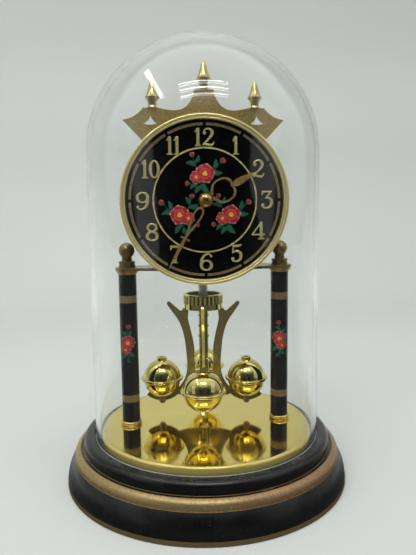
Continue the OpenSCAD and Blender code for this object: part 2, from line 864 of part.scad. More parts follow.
module battery_contacts() {
    leaf = 8;
    left_x = battery_x - leaf / 2;
    color("#d0d0c8") in_works() {
        translate([left_x, battery_y - leaf / 2, case_z0 + case_wall]) cube([leaf, leaf, contact_t]);
        translate([left_x, battery_y - leaf / 2, battery_z0 + battery_l + 0.1])
            cube([case_in_half - left_x, leaf, contact_t]);
    }
}

module pendulum_bearing() {
    color("#d6b25c") at_pendulum() rotate_extrude() difference() {
        union() {
            ring_2d(0, bearing_r, case_z0, case_z0 + case_wall);
            ring_2d(0, bearing_flange_r, case_z0 + case_wall, bearing_top);
        }
        ring_2d(0, spindle_r + run_fit, case_z0 - cut, bearing_top + cut);
    }
}

module drive_coil() {
    color("#b5652d") at_pendulum() rotate_extrude()
        ring_2d(drive_coil_in_r, drive_coil_r, drive_coil_z, shelf_z);
}

// Crest
shoulder_x0 = 26.1;
shoulder_x1 = 35.2;
crest_tip = [47.1, 46.4];
scallop_low = [16.9, 51.7];
spire_x = 29.8;
spire_pin_r = 0.4;
spire_pin_l = 2.5;
crest_half = concat(
    curve(crest_tip, [41.2, 47], [37.6, 49.9], [shoulder_x1, shoulder_z]),
    curve([shoulder_x0, shoulder_z], [23, 52.3], [20.4, scallop_low.y], scallop_low),
    curve(scallop_low, [10.8, scallop_low.y], [6.5, 56.5], [crown_x, crown_z])
);
crest_foot = [[-20, 18], [-9, -9], [9, -9], [20, 18]];
window_top = [30.9, 48.9];
window_out = [35.2, 44.3];
window_in = [27.1, 44.3];
crest_window = concat(
    curve(window_top, [31.6, 46.6], [33.2, 45], window_out),
    curve(window_out, [32.7, 43.4], [29.6, 43.4], window_in),
    curve(window_in, [28.9, 45], [30.3, 46.6], window_top)
);
spire_places = [[-spire_x, shoulder_z], [0, crown_z], [spire_x, shoulder_z]];

module crest_plate() {
    color("#94793f") difference() {
        facing(case_front_y) linear_extrude(crest_t) difference() {
            polygon(concat(crest_half, mirrored(crest_half), crest_foot));
            polygon(crest_window);
            polygon(mirrored(crest_window));
            circle(bush_r + fit);
        }
        in_works() for (place = spire_places) translate([place.x, case_front_y - crest_t / 2, 0])
            upright(spire_pin_r + fit, dial_z + place.y - spire_pin_l - fit, dial_z + place.y + cut);
    }
}

module crest_finials() {
    tip_r = 1;
    flange_r = 4.2;
    vase = [
        [0, 0], [2.8, 0], [2.3, 1.2], [2.5, 2.8], [3.2, 4.2], [flange_r, 5.4], [flange_r, 5.9]
    ];
    spire = curve([flange_r - 0.2, 6.2], [3, 7.6], [2.5, 9.8], [1.8, spire_h - 3.2]);
    top = [tip_r, spire_h - tip_r];
    color("#b08d45") in_works() for (place = spire_places)
        translate([place.x, case_front_y - crest_t / 2, dial_z + place.y]) {
            rotate_extrude() {
                polygon(concat(vase, spire, [top, [0, top.y]]));
                intersection() {
                    translate([0, spire_h - tip_r]) circle(tip_r);
                    ring_2d(0, tip_r, spire_h - 2 * tip_r, spire_h);
                }
            }
            upright(spire_pin_r, -spire_pin_l, 0);
        }
}

// Dial
module dial_plate() {
    color("#0d0d0e") facing(crest_y) linear_extrude(dial_t) difference() {
        circle(dial_r - fit);
        circle(bush_r + fit);
    }
}

module dial_bezel() {
    outer_bead = 1;
    inner_bead = 0.6;
    body_h = bezel_depth - outer_bead;
    color("#d4bd62") facing(crest_y) rotate_extrude() difference() {
        union() {
            ring_2d(bezel_in_r, bezel_r, 0, body_h);
            translate([bezel_r - outer_bead, body_h]) circle(outer_bead);
            translate([bezel_in_r + inner_bead, body_h]) circle(inner_bead);
        }
        ring_2d(0, dial_r, -cut, dial_t);
    }
}

module minute_track() {
    hour_gap = 2.4;
    color("#c8b060") facing(dial_y) for (i = [0 : 11]) rotate(i * 30 + hour_gap / 2)
        rotate_extrude(angle = 30 - hour_gap) ring_2d(track_r - track_w, track_r, 0, relief_h);
}

module inner_ring() {
    color("#c8b060") facing(dial_y) rotate_extrude()
        ring_2d(inner_ring_r - inner_ring_w / 2, inner_ring_r + inner_ring_w / 2, 0, relief_h);
}

module bush_nut() {
    color("#c0a050") facing(dial_y) difference() {
        cylinder(r = bush_nut_r, h = bush_nut_h, $fn = 6);
        translate([0, 0, -cut]) cylinder(r = bush_r + fit, h = bush_nut_h + 2 * cut);
    }
}

// Hands, drawn pointing at twelve
module hour_hand() {
    leaf_z = 18;
    outer = concat(
        curve([0.9, 2.5], [2.4, 6.2], [6.9, 5.2], [7.2, 11.4]),
        curve([7.2, 11.4], [7.5, 17.8], [2.6, 20.4], [0.7, leaf_z])
    );
    inner = concat(
        curve([0, 4.6], [1.8, 7.4], [6, 6.4], [6.2, 11.4]),
        curve([6.2, 11.4], [6.4, 16.6], [2.4, 19], [0, 16.6])
    );
    leaf = curve([0.7, leaf_z], [3.2, leaf_z + 2.6], [2, leaf_z + 7.4], [0, hour_hand_l]);
    color("#b08a3a") facing(hour_hand_y) linear_extrude(hand_t) rotate(-hour_rest) difference() {
        union() {
            difference() {
                polygon(concat(outer, mirrored(outer)));
                polygon(concat(inner, mirrored(inner)));
            }
            polygon(concat(leaf, mirrored(leaf)));
            circle(hand_boss_r);
        }
        circle(hour_pipe_r + fit);
    }
}

module minute_hand() {
    loop_top = 23;
    bar_z = 25.3;
    bar_x = 2.3;
    outer = curve([0.9, 5], [4.2, 5.4], [2.9, 13], [0.7, loop_top]);
    inner = curve([0, 6], [2.9, 6.2], [1.9, 12.6], [0, loop_top - 3]);
    blade = curve([0.7, loop_top], [1, 31], [1.3, 33], [0.15, minute_hand_l]);
    color("#b08a3a") facing(minute_hand_y) linear_extrude(hand_t) rotate(-minute_rest) difference() {
        union() {
            difference() {
                polygon(concat(outer, mirrored(outer)));
                polygon(concat(inner, mirrored(inner)));
            }
            polygon(concat(blade, mirrored(blade)));
            translate([-1, 0]) square([2, 6]);
            translate([-bar_x, bar_z - 0.4]) square([2 * bar_x, 0.8]);
            for (side = [-1, 1]) translate([side * bar_x, bar_z]) circle(0.7);
            circle(hand_boss_r);
        }
        circle(minute_arbor_r + fit);
    }
}

module hand_nut() {
    dome_round = (hand_nut_r * hand_nut_r + hand_nut_h * hand_nut_h) / (2 * hand_nut_h);
    bore_h = minute_hand_y - hand_t - minute_arbor_end_y + fit;
    color("#b9924a") facing(minute_hand_y - hand_t) difference() {
        rotate_extrude() intersection() {
            translate([0, hand_nut_h - dome_round]) circle(dome_round);
            ring_2d(0, hand_nut_r, 0, hand_nut_h);
        }
        translate([0, 0, -cut]) cylinder(r = minute_arbor_r + fit, h = bore_h + cut);
    }
}

// Pendulum
module pendulum_frame() {
    at_pendulum() rotate(pendulum_rest) children();
}

module pendulum_spindle() {
    color("#c8c8cc") at_pendulum() {
        upright(spindle_rod_r, cup_under + cup_floor_t, spindle_rod_top);
        upright(spindle_r, spindle_rod_top, spindle_top);
    }
}

module thrust_collar() {
    color("#d6b25c") at_pendulum() rotate_extrude()
        ring_2d(spindle_r + fit, collar_r, collar_z, collar_z + collar_t);
}

module drive_magnet() {
    color("#55585c") at_pendulum() rotate_extrude()
        ring_2d(spindle_r + fit, magnet_r, magnet_z, magnet_z + magnet_t);
}

module pendulum_cup() {
    color("#d8c45a") pendulum_frame() difference() {
        rotate_extrude() difference() {
            ring_2d(0, cup_r, cup_under, cup_top);
            ring_2d(0, cup_r - cup_wall, cup_under + cup_floor_t, cup_top + cut);
        }
        for (i = [0 : cup_flutes - 1]) rotate(i * 360 / cup_flutes) translate([cup_r, 0, 0])
            upright(flute_r, cup_under + cup_band_h, cup_top - cup_rim_h);
    }
}

module pendulum_column() {
    color("#d8c45a") at_pendulum() rotate_extrude() {
        ring_2d(0, pendulum_column_r, column_foot_z, cup_under);
        for (drop = column_ring_drops)
            ring_2d(0, column_ring_r,
                cup_under - drop - column_ring_h / 2, cup_under - drop + column_ring_h / 2);
    }
}

// One lyre arm in its own plane: first value is the distance from the axis, second the height
module arm_outline() {
    function high(r, drop) = [r, cup_under - drop];
    function low(r, rise) = [r, ball_z + rise];
    outer = concat(
        [high(9.4, 0), high(cup_r + 0.4, 0)],
        curve(high(cup_r + 0.4, 0), high(13.6, 1.6), high(14.6, 2.6), high(16, 1.2)),
        [high(22.2, -4.4), high(23.3, -4.3), high(23.9, -3.4), high(23.7, -2.4)],
        curve(high(19, 4.4), high(15.2, 9), high(12.4, 16), low(11.6, 17)),
        curve(low(11, 10), low(11, 3), low(12.6, -2.6), low(18.6, -8.2))
    );
    inner = concat(
        curve(low(18, -11), low(12, -13), low(6, -13.1), low(arm_root_r, -13.1)),
        curve(low(arm_root_r, -4), low(5.4, -1), low(6, 4), low(6.2, 12)),
        curve(low(6.2, 20), high(7, 20), high(8.6, 14), high(9.8, 9)),
        [high(10.2, 6.5), high(9.8, 3)]
    );
    difference() {
        union() {
            polygon(concat(outer, inner));
            intersection() {
                translate([ball_offset, ball_z]) circle(cradle_r);
                polygon([
                    [ball_offset, ball_z], [ball_offset, ball_z] + along(cradle_end, 2 * cradle_r),
                    low(ball_offset, -2 * cradle_r), low(ball_offset - cradle_r, -2 * cradle_r),
                    low(ball_offset - cradle_r, -8)
                ]);
            }
        }
        translate([ball_offset, ball_z]) circle(ball_r + fit);
    }
}

module arm(quarter) {
    color("#c9b257") pendulum_frame() rotate(quarter_turns[quarter]) difference() {
        union() {
            translate([0, arm_t / 2, 0]) rotate([90, 0, 0]) linear_extrude(arm_t) arm_outline();
            translate([ball_offset, 0, 0]) upright(boss_r, boss_z, ball_z - ball_r / 2);
        }
        translate([ball_offset, 0, ball_z]) sphere(ball_r + fit);
        translate([ball_offset, 0, 0]) upright(ball_screw_r + fit, boss_z - cut, ball_z);
    }
}

module front_arm() { arm(0); }
module left_arm() { arm(1); }
module rear_arm() { arm(2); }
module right_arm() { arm(3); }

module at_balls() {
    pendulum_frame() for (turn = quarter_turns) rotate(turn) translate([ball_offset, 0, ball_z]) children();
}

// Half of a ball's section with half of its ring, above the seam
module ball_section() {
    difference() {
        intersection() {
            union() {
                circle(ball_r);
                translate([ball_r + ball_ring - ball_ring_half, 0]) circle(ball_ring_half);
                ring_2d(0, ball_r + ball_ring - ball_ring_half, -ball_ring_half, ball_ring_half);
            }
            ring_2d(0, 2 * ball_r, 0, 2 * ball_r);
        }
        circle(ball_r - ball_wall);
    }
}

module ball_upper_shells() {
    dimple_r = 1.6;
    color("#dccb5e") at_balls() rotate_extrude() difference() {
        union() {
            ball_section();
            ring_2d(0, ball_button_r, ball_r - ball_wall / 2, ball_r + ball_button_h);
        }
        ring_2d(0, dimple_r, ball_r + ball_button_h / 2, ball_r + ball_button_h + cut);
    }
}

module ball_lower_shells() {
    pillar_r = 2.4;
    pillar_l = 5;
    color("#d8c45a") at_balls() difference() {
        mirror([0, 0, 1]) rotate_extrude() {
            ball_section();
            ring_2d(0, pillar_r, ball_r - pillar_l, ball_r - ball_wall / 2);
        }
        upright(ball_screw_r + fit, -ball_r - cut, -ball_r + pillar_l + cut);
    }
}

module ball_screws() {
    color("#c9b257") at_balls() {
        upright(ball_screw_r, boss_z - ball_z, -ball_r + 4);
        upright(ball_screw_head_r, boss_z - ball_z - ball_screw_head_h, boss_z - ball_z);
    }
}

// Dome
module dome_profile(r, z0) {
    middle = seat_z + dome_h - dome_r;
    ring_2d(0, r, z0, middle);
    intersection() {
        translate([0, middle]) circle(r);
        ring_2d(0, r, middle, middle + r);
    }
}

module glass_dome() {
    color("#dfe9ea", 0.3) rotate_extrude() difference() {
        dome_profile(dome_r, seat_z);
        dome_profile(dome_r - dome_wall, seat_z - cut);
    }
}

base_body();
base_felt();
base_plate();
foot_ring(-1);  // left_foot_ring
foot_ring(1);  // right_foot_ring
column_tube(-1);  // left_column_tube
column_tube(1);  // right_column_tube
column_cap(-1);  // left_column_cap
column_cap(1);  // right_column_cap
ball_finial(-1);  // left_ball_finial
ball_finial(1);  // right_ball_finial
tie_rod(-1);  // left_tie_rod
tie_rod(1);  // right_tie_rod
tie_rod_washers();
tie_rod_nuts();
movement_bridge();
bridge_screws();
case_front();
case_back();
case_screws();
train_plate();
circuit_board();
motor_coil();
motor_stator();
rotor();
second_wheel();
third_wheel();
centre_wheel();
minute_arbor();
hour_wheel();
motion_wheel();
setting_knob();
battery();
battery_contacts();
pendulum_bearing();
drive_coil();
crest_plate();
crest_finials();
dial_plate();
dial_bezel();
minute_track();
inner_ring();
bush_nut();
hour_hand();
minute_hand();
hand_nut();
pendulum_spindle();
thrust_collar();
drive_magnet();
pendulum_cup();
pendulum_column();
front_arm();
left_arm();
rear_arm();
right_arm();
ball_upper_shells();
ball_lower_shells();
ball_screws();
glass_dome();
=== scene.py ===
import json
import math

import bpy
from bpy.props import FloatProperty, FloatVectorProperty, PointerProperty
from mathutils import Matrix, Vector
from mathutils.geometry import delaunay_2d_cdt


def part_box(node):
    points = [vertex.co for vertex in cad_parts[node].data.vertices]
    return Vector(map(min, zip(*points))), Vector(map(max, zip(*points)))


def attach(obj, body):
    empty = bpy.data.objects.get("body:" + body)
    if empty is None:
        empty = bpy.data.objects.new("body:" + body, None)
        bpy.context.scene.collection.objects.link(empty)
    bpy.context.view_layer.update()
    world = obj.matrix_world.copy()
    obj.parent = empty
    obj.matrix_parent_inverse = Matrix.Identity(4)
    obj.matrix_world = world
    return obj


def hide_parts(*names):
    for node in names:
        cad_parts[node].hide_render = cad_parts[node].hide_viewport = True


bl_info = {
    "name": "Glass Dome Clock",
    "version": (1, 0, 0),
    "blender": (4, 5, 0),
    "location": "3D View > Sidebar > Dome Clock",
    "description": "Dresses the packed dome clock with finishes, numerals, flower sprigs and a stage",
    "category": "Object",
}

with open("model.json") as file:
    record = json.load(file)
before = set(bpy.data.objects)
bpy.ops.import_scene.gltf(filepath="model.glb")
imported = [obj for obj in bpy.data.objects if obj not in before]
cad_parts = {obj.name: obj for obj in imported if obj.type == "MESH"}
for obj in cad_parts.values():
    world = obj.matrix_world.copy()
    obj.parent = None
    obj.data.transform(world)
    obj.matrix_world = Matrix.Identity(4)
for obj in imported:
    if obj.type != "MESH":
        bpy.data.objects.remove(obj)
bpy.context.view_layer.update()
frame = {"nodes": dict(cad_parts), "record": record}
MM = 0.001
BODIES = {node: body for body, nodes in frame["record"]["behaviour"]["bodies"].items() for node in nodes}

# The photograph's frame and the camera fitted to it
FRAME_W = 416
FOCAL_PX = 541.18
SENSOR_MM = 36
EYE = Vector((-0.02525, -0.33605, 0.16494))
PITCH_DOWN, YAW, ROLL = 0.12057, 0.08175, -0.01195

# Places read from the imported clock
DOME_LOW, DOME_HIGH = (Vector(c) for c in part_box("glass_dome"))
DOME_R = DOME_HIGH.x
SEAT_DEPTH = 1.4 * MM
DIAL_LOW, DIAL_HIGH = (Vector(c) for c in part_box("dial_plate"))
DIAL_FACE = DIAL_LOW.y
DIAL_Z = (DIAL_LOW.z + DIAL_HIGH.z) / 2
TRACK_LOW, TRACK_HIGH = (Vector(c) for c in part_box("minute_track"))
TRACK_R = (TRACK_HIGH.x - TRACK_LOW.x) / 2
TRACK_W = 1.5 * MM
_, BASE_HIGH = (Vector(c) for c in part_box("base_body"))
TUBE_LOW, TUBE_HIGH = (Vector(c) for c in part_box("right_column_tube"))
TUBE_R = (TUBE_HIGH.x - TUBE_LOW.x) / 2
TUBE_X = (TUBE_HIGH.x + TUBE_LOW.x) / 2
TUBE_Y = (TUBE_HIGH.y + TUBE_LOW.y) / 2
CUP_LOW, CUP_HIGH = (Vector(c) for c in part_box("pendulum_cup"))
CUP_R = (CUP_HIGH.x - CUP_LOW.x) / 2
CUP_Y = (CUP_HIGH.y + CUP_LOW.y) / 2
CUP_FLUTES, CUP_BAND, CUP_RIM, CUP_WALL = 28, 3.4 * MM, 0.8 * MM, 2.0 * MM
PENDULUM_REST_DEGREES = -5.5
_, BOARD_HIGH = (Vector(c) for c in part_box("circuit_board"))
BATTERY_LOW, BATTERY_HIGH = (Vector(c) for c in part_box("battery"))
_, PLATE_HIGH = (Vector(c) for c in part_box("base_plate"))

# Heights of the gilding on the turned base, and of the gilt bands on the columns
BEAD_BAND = (15.8 * MM, 21.5 * MM)
FOOT_BAND = (0.0, 2.88 * MM)
COLUMN_BANDS = ((110.0 * MM, 114.5 * MM), (47.1 * MM, 51.5 * MM))

# Height of the columns' sprigs, spacing of the lines in the columns' bands and of the coils' wire
COLUMN_SPRIG_Z = 84.6 * MM
BAND_LINE_PITCH = 0.0026
WIRE_PITCH = 0.00024

# Floor and wall of the stage, in metres
FLOOR_HALF, FLOOR_FRONT, FLOOR_BACK = 2.4, -0.9, 0.55
WALL_BEND, WALL_STEPS, WALL_HEIGHT = 0.3, 12, 2.0


# Numerals: strokes on a grid 100 high; a stroke's points are x, y and width

def oval(cx, cy, rx, ry, thick, thin):
    """The two halves of a ring stroke, thick at its sides."""
    count = 24
    ring = []
    for i in range(count + 3):
        turn = 2 * math.pi * i / count
        share = abs(math.cos(turn)) ** 1.4
        ring.append((cx + rx * math.cos(turn), cy + ry * math.sin(turn), thin + (thick - thin) * share))
    return [("stroke", ring[: count // 2 + 2]), ("stroke", ring[count // 2:])]


def block(x0, y0, x1, y1):
    return ("shape", [(x0, y0), (x1, y0), (x1, y1), (x0, y1)])


def ball(x, y, r):
    turns = [i * math.pi / 12 for i in range(24)]
    return ("shape", [(x + r * math.cos(t), y + r * math.sin(t)) for t in turns])


SIX = [
    ("stroke", [(71, 82, 7), (63.5, 92.5, 8), (48.5, 95, 9.5), (30, 85, 13), (17.5, 64, 16.5),
                (14.5, 38, 17), (16, 24, 15)]),
    ball(70, 83, 7.8),
    *oval(43, 31, 29, 26.5, 16.5, 8.4),
]


def half_turned(parts, cx, cy):
    turned = []
    for kind, points in parts:
        turned.append((kind, [(2 * cx - p[0], 2 * cy - p[1], *p[2:]) for p in points]))
    return turned


# Each digit: its width and its parts
DIGITS = {
    "0": (61, oval(30.5, 50, 22.2, 45.5, 16.5, 8.2)),
    "1": (36, [
        block(10.5, 0, 26.5, 100), block(0.5, 0, 36, 7),
        ("stroke", [(0, 79, 6), (7, 82, 9), (13, 90, 12), (18, 95, 9)]),
    ]),
    "2": (70, [
        ("stroke", [(11.5, 71, 7), (12.5, 83, 8), (21.5, 93, 8.6), (36.5, 95.5, 9.4), (51.5, 89, 13.5),
                    (58, 74, 17), (52, 57, 14.6), (35.5, 38, 10.4), (16, 19, 9.4), (5.5, 7, 8.4)]),
        ball(15, 73, 9.8),
        ("stroke", [(4.5, 7, 10), (19.5, 11, 11.4), (39, 7, 13.6), (54, 6.4, 12.8), (63, 13, 9),
                    (67, 26, 5.6)]),
    ]),
    "3": (74, [
        ("shape", [(10, 100), (8.5, 75), (14.5, 75), (20, 89), (68, 91.5), (68, 100)]),
        ("stroke", [(64, 97, 8.4), (49, 78, 9.4), (33, 60, 9.4)]),
        ("stroke", [(30, 59, 8), (49, 61, 10.4), (63, 50, 14.8), (66, 33, 17.4), (59, 14, 14.6),
                    (40.5, 4.8, 9.6), (21, 6.6, 8.2), (11, 17, 8)]),
        ball(16, 20, 9.8),
    ]),
    "4": (78, [
        ("stroke", [(56, 96.5, 8.6), (31, 64, 9.2), (6, 31, 9.2)]),
        block(1, 23.5, 78, 32.8), block(46.5, 0, 63, 100), block(36, 0, 74, 7),
    ]),
    "5": (70, [
        ("stroke", [(16.5, 93, 10), (34, 92, 14), (52.5, 94, 13), (66, 100, 4.6)]),
        ("stroke", [(18.5, 96, 8.2), (16.5, 75, 8.2), (14, 52, 8.2)]),
        ("stroke", [(13, 52, 7), (28, 62, 10.2), (45.5, 62, 12.4), (59, 50, 15.6), (61.4, 31, 17),
                    (53.4, 12.4, 14.6), (36, 4.8, 9.6), (18.5, 6.6, 8.2), (10.5, 16, 8)]),
        ball(15, 19, 9.8),
    ]),
    "6": (82, SIX),
    "7": (64, [
        ("shape", [(4, 100), (4, 73), (9.5, 73), (14, 86.5), (64, 88), (64, 100)]),
        ("stroke", [(60, 95, 10), (47, 66, 12.6), (35.5, 36, 15.6), (30, 4, 17)]), block(16, 0, 46, 7),
    ]),
    "8": (76, oval(38, 75.5, 23.6, 20.3, 13.8, 8.4) + oval(38, 27.7, 28, 23.4, 16.5, 8.4)),
    "9": (82, half_turned(SIX, 41, 50)),
}
DIGIT_GAP = 4


# Settings that a user would change

def size_setting(name, description, default, low, high, subtype="DISTANCE"):
    unit = "LENGTH" if subtype == "DISTANCE" else "NONE"
    return FloatProperty(name=name, description=description, default=default, min=low, max=high,
                         subtype=subtype, unit=unit)


class DomeClockSizes(bpy.types.PropertyGroup):
    """Sizes of the pieces that are modelled here"""

    numeral_height: size_setting("Numeral Height", "Height of the dial's numerals", 10.5 * MM, 0.004, 0.014)
    numeral_ring: size_setting("Numeral Ring", "Distance of the numerals' middles from the hands' axis",
                               36.4 * MM, 0.03, 0.04)
    numeral_rise: size_setting("Numeral Rise", "How far the numerals stand out from the dial", 0.65 * MM,
                               0.0001, 0.001)
    numeral_round: size_setting("Numeral Edge", "Width of the rounded edge of the numerals", 0.26 * MM,
                                0.00002, 0.0003)
    dial_sprig: size_setting("Dial Sprig", "Scale of the dial's flower sprigs", 1.12, 0.5, 1.3, "FACTOR")
    column_sprig: size_setting("Column Sprig", "Scale of the columns' sprigs", 1.08, 0.5, 1.3, "FACTOR")


def colour_setting(name, description, default):
    return FloatVectorProperty(name=name, description=description, default=default, size=3, min=0, max=1,
                               subtype="COLOR")


class DomeClockColours(bpy.types.PropertyGroup):
    """Colours of the finishes"""

    lacquer: colour_setting("Lacquer", "Black of the base and the columns", (0.0035, 0.0035, 0.004))
    gilding: colour_setting("Gilding", "Bronze gilding of the base's bead and foot line", (0.5, 0.36, 0.16))
    plate: colour_setting("Plate", "Polished brass of the floor plate", (1.0, 0.8, 0.25))
    bezel: colour_setting("Bezel", "Pale brass of the bezel", (0.92, 0.79, 0.38))
    relief: colour_setting("Relief", "Gilt of numerals and inner ring", (0.95, 0.82, 0.36))
    track: colour_setting("Track", "Dull gilt of the minute track", (0.4, 0.34, 0.17))
    aged: colour_setting("Aged Brass", "Browned brass of bridge, caps, ball finials and column bands",
                         (0.42, 0.31, 0.13))
    crest: colour_setting("Crest Brass", "Warm brown brass of the crest plate", (0.68, 0.5, 0.18))
    spire: colour_setting("Spire Brass", "Brighter brass of the crest's spires", (0.62, 0.46, 0.18))
    hands: colour_setting("Hands", "Coppery brass of hands and nut", (0.68, 0.46, 0.17))
    pendulum: colour_setting("Pendulum", "Yellow gilt of the pendulum", (0.84, 0.73, 0.27))
    # Painted shade: the side arms and ball screws take this darkened gilt for the shade they lie in.
    arms: colour_setting("Arms", "Bronze of the pendulum's side arms and ball screws", (0.5, 0.4, 0.16))
    petal: colour_setting("Petal", "Red of the blossoms", (0.28, 0.003, 0.007))
    petal_edge: colour_setting("Petal Edge", "Pale rim of the blossoms", (0.85, 0.5, 0.46))
    leaf: colour_setting("Leaf", "Green of leaves and stems", (0.004, 0.075, 0.042))
    backdrop: colour_setting("Backdrop", "Pale floor and wall", (0.64, 0.66, 0.635))


def sizes():
    return bpy.context.scene.dome_clock_sizes


def colours():
    return bpy.context.scene.dome_clock_colours


# Finishes

class Nodes:
    """Short ways to add and join the nodes of a tree."""

    def __init__(self, tree):
        self.tree = tree

    def feed(self, socket, value):
        if isinstance(value, bpy.types.NodeSocket):
            self.tree.links.new(value, socket)
        elif socket.type == "RGBA" and len(value) == 3:
            socket.default_value = (*value, 1)
        else:
            socket.default_value = value

    def add(self, kind, inputs=None, **settings):
        node = self.tree.nodes.new(f"ShaderNode{kind}")
        for key, value in settings.items():
            setattr(node, key, value)
        for key, value in (inputs or {}).items():
            self.feed(node.inputs[key], value)
        return node

    def maths(self, operation, a, b=0.0, clamp=False):
        node = self.add("Math", {0: a, 1: b}, operation=operation, use_clamp=clamp)
        return node.outputs[0]

    def times(self, a, b):
        return self.maths("MULTIPLY", a, b)

    def plus(self, a, b, clamp=False):
        return self.maths("ADD", a, b, clamp)

    def minus(self, a, b, clamp=False):
        return self.maths("SUBTRACT", a, b, clamp)

    def most(self, a, b):
        return self.maths("MAXIMUM", a, b)

    def span(self, value, low, high, to_low=0.0, to_high=1.0):
        """A smooth step from to_low to to_high while the value goes from low to high."""
        inputs = {"Value": value, "From Min": low, "From Max": high, "To Min": to_low, "To Max": to_high}
        return self.add("MapRange", inputs, interpolation_type="SMOOTHSTEP").outputs[0]

    def mirrored(self):
        """One for rays that a surface has mirrored, nought for the others."""
        return self.maths("GREATER_THAN", self.add("LightPath").outputs["Glossy Depth"], 0.5)


class Finish(Nodes):
    """A node material on object coordinates."""

    def __init__(self, name):
        self.material = bpy.data.materials.new(name)
        self.material.use_nodes = True
        super().__init__(self.material.node_tree)
        self.shader = self.tree.nodes["Principled BSDF"]
        self.output = self.tree.nodes["Material Output"]
        self.place = self.add("TexCoord").outputs["Object"]

    def set(self, **values):
        """Feeds the shader's sockets; an underscore stands for a space."""
        for key, value in values.items():
            self.feed(self.shader.inputs[key.replace("_", " ")], value)

    def mix(self, factor, a, b):
        return self.add("Mix", {0: factor, 6: a, 7: b}, data_type="RGBA").outputs[2]

    def blend(self, factor, a, b):
        return self.add("Mix", {0: factor, 2: a, 3: b}).outputs[0]

    def axes(self, place=None):
        return self.add("SeparateXYZ", {0: place or self.place}).outputs

    def point(self, x, y):
        return self.add("CombineXYZ", {0: x, 1: y, 2: 0.0}).outputs[0]

    def moved(self, place=None, offset=(0, 0, 0), scale=(1, 1, 1)):
        return self.add("Mapping", {0: place or self.place, 1: offset, 3: scale}).outputs[0]

    def noise(self, scale, detail=4.0, rough=0.55, place=None, stretch=None):
        where = self.moved(place, scale=stretch) if stretch else (place or self.place)
        inputs = {"Vector": where, "Scale": scale, "Detail": detail, "Roughness": rough}
        return self.add("TexNoise", inputs).outputs["Fac"]

    def band(self, value, low, high, blur=0.00006):
        rise, fall = (self.span(value, edge - blur, edge + blur) for edge in (low, high))
        return self.minus(rise, fall)

    def bump(self, height, distance, strength):
        inputs = {"Height": height, "Distance": distance, "Strength": strength}
        self.feed(self.shader.inputs["Normal"], self.add("Bump", inputs).outputs[0])
        return self

    def around(self, x, y):
        """Angle about an axis, in turns."""
        return self.maths("DIVIDE", self.maths("ARCTAN2", y, x), 2 * math.pi)

    def length(self, a, b):
        return self.maths("SQRT", self.plus(self.times(a, a), self.times(b, b)))

    def painted(self):
        """A patch's own across and along, and how far a point is from its middle line."""
        u, v, _ = self.axes(self.add("UVMap", uv_map="UVMap").outputs[0])
        return u, v, self.maths("ABSOLUTE", self.minus(self.times(u, 2), 1))


def shade(colour, red, green=None, blue=None):
    """A colour times one share, or times a share for each channel."""
    shares = (red, green or red, blue or red)
    return tuple(c * share for c, share in zip(colour, shares))


def pale(colour, share, lift):
    return tuple(min(1, c * share + lift) for c in colour)


def brass(name, colour, rough, tarnish=0.35, patch=60, grain=900, relief=0.00001, stretch=None, metal=1.0,
          grit=0.16):
    """Brass with clouded tarnish and fine grain, both in its roughness; less metal makes it matt."""
    f = Finish(name)
    cloud = f.noise(patch, 5, 0.6)
    fine = f.noise(grain, 3, 0.6, stretch=stretch)
    worn = f.span(cloud, 0.42, 0.68)
    brown = shade(colour, 0.62, 0.52, 0.42)
    tone = f.mix(f.times(worn, tarnish), colour, brown)
    tone = f.mix(f.span(fine, 0.35, 0.7, 0.0, grit), tone, shade(colour, 0.45))
    f.set(Base_Color=tone, Metallic=metal)
    gloss = f.plus(f.span(cloud, 0.3, 0.75, rough * 0.8, rough * 1.35), f.span(fine, 0.4, 0.8, 0.0, 0.05))
    f.set(Roughness=gloss)
    return f.bump(fine, relief, 0.5)


def lacquer_parts(f, colour, specks):
    """Black lacquer with dust specks; gives its colour and its haze of dust."""
    dust = f.span(f.noise(1900, 2, 0.7), 0.70, 0.78)
    field = f.span(f.noise(38, 3, 0.6), 0.42, 0.66)
    haze = f.times(dust, f.times(field, specks))
    tone = f.mix(haze, colour, (0.32, 0.32, 0.3))
    tone = f.mix(f.span(f.noise(120, 5, 0.65), 0.4, 0.75, 0.0, 0.3), tone, shade(colour, 4))
    return tone, haze


def gilt_parts(f, colour, across, along):
    """Brushed bronze gilding, coppery to the right; gives its colour and its brush marks."""
    brush = f.noise(1, 4, 0.65, place=f.moved(f.point(across, along), scale=(2200, 160, 1)))
    rub = f.noise(34, 4, 0.6)
    grit = f.noise(1400, 2, 0.7)
    copper = shade(colour, 0.95, 0.78, 0.95)
    side = f.span(f.axes()[0], -0.02, 0.07, -0.25, 0.3)
    tone = f.mix(f.span(f.plus(rub, side), 0.42, 0.66), colour, copper)
    tone = f.mix(f.span(brush, 0.36, 0.72, 0.0, 0.45), tone, shade(colour, 0.42))
    tone = f.mix(f.span(grit, 0.5, 0.66, 0.0, 0.55), tone, shade(colour, 0.3))
    tone = f.mix(f.span(grit, 0.36, 0.28, 0.0, 0.7), tone, (0.75, 0.62, 0.4))
    return tone, brush


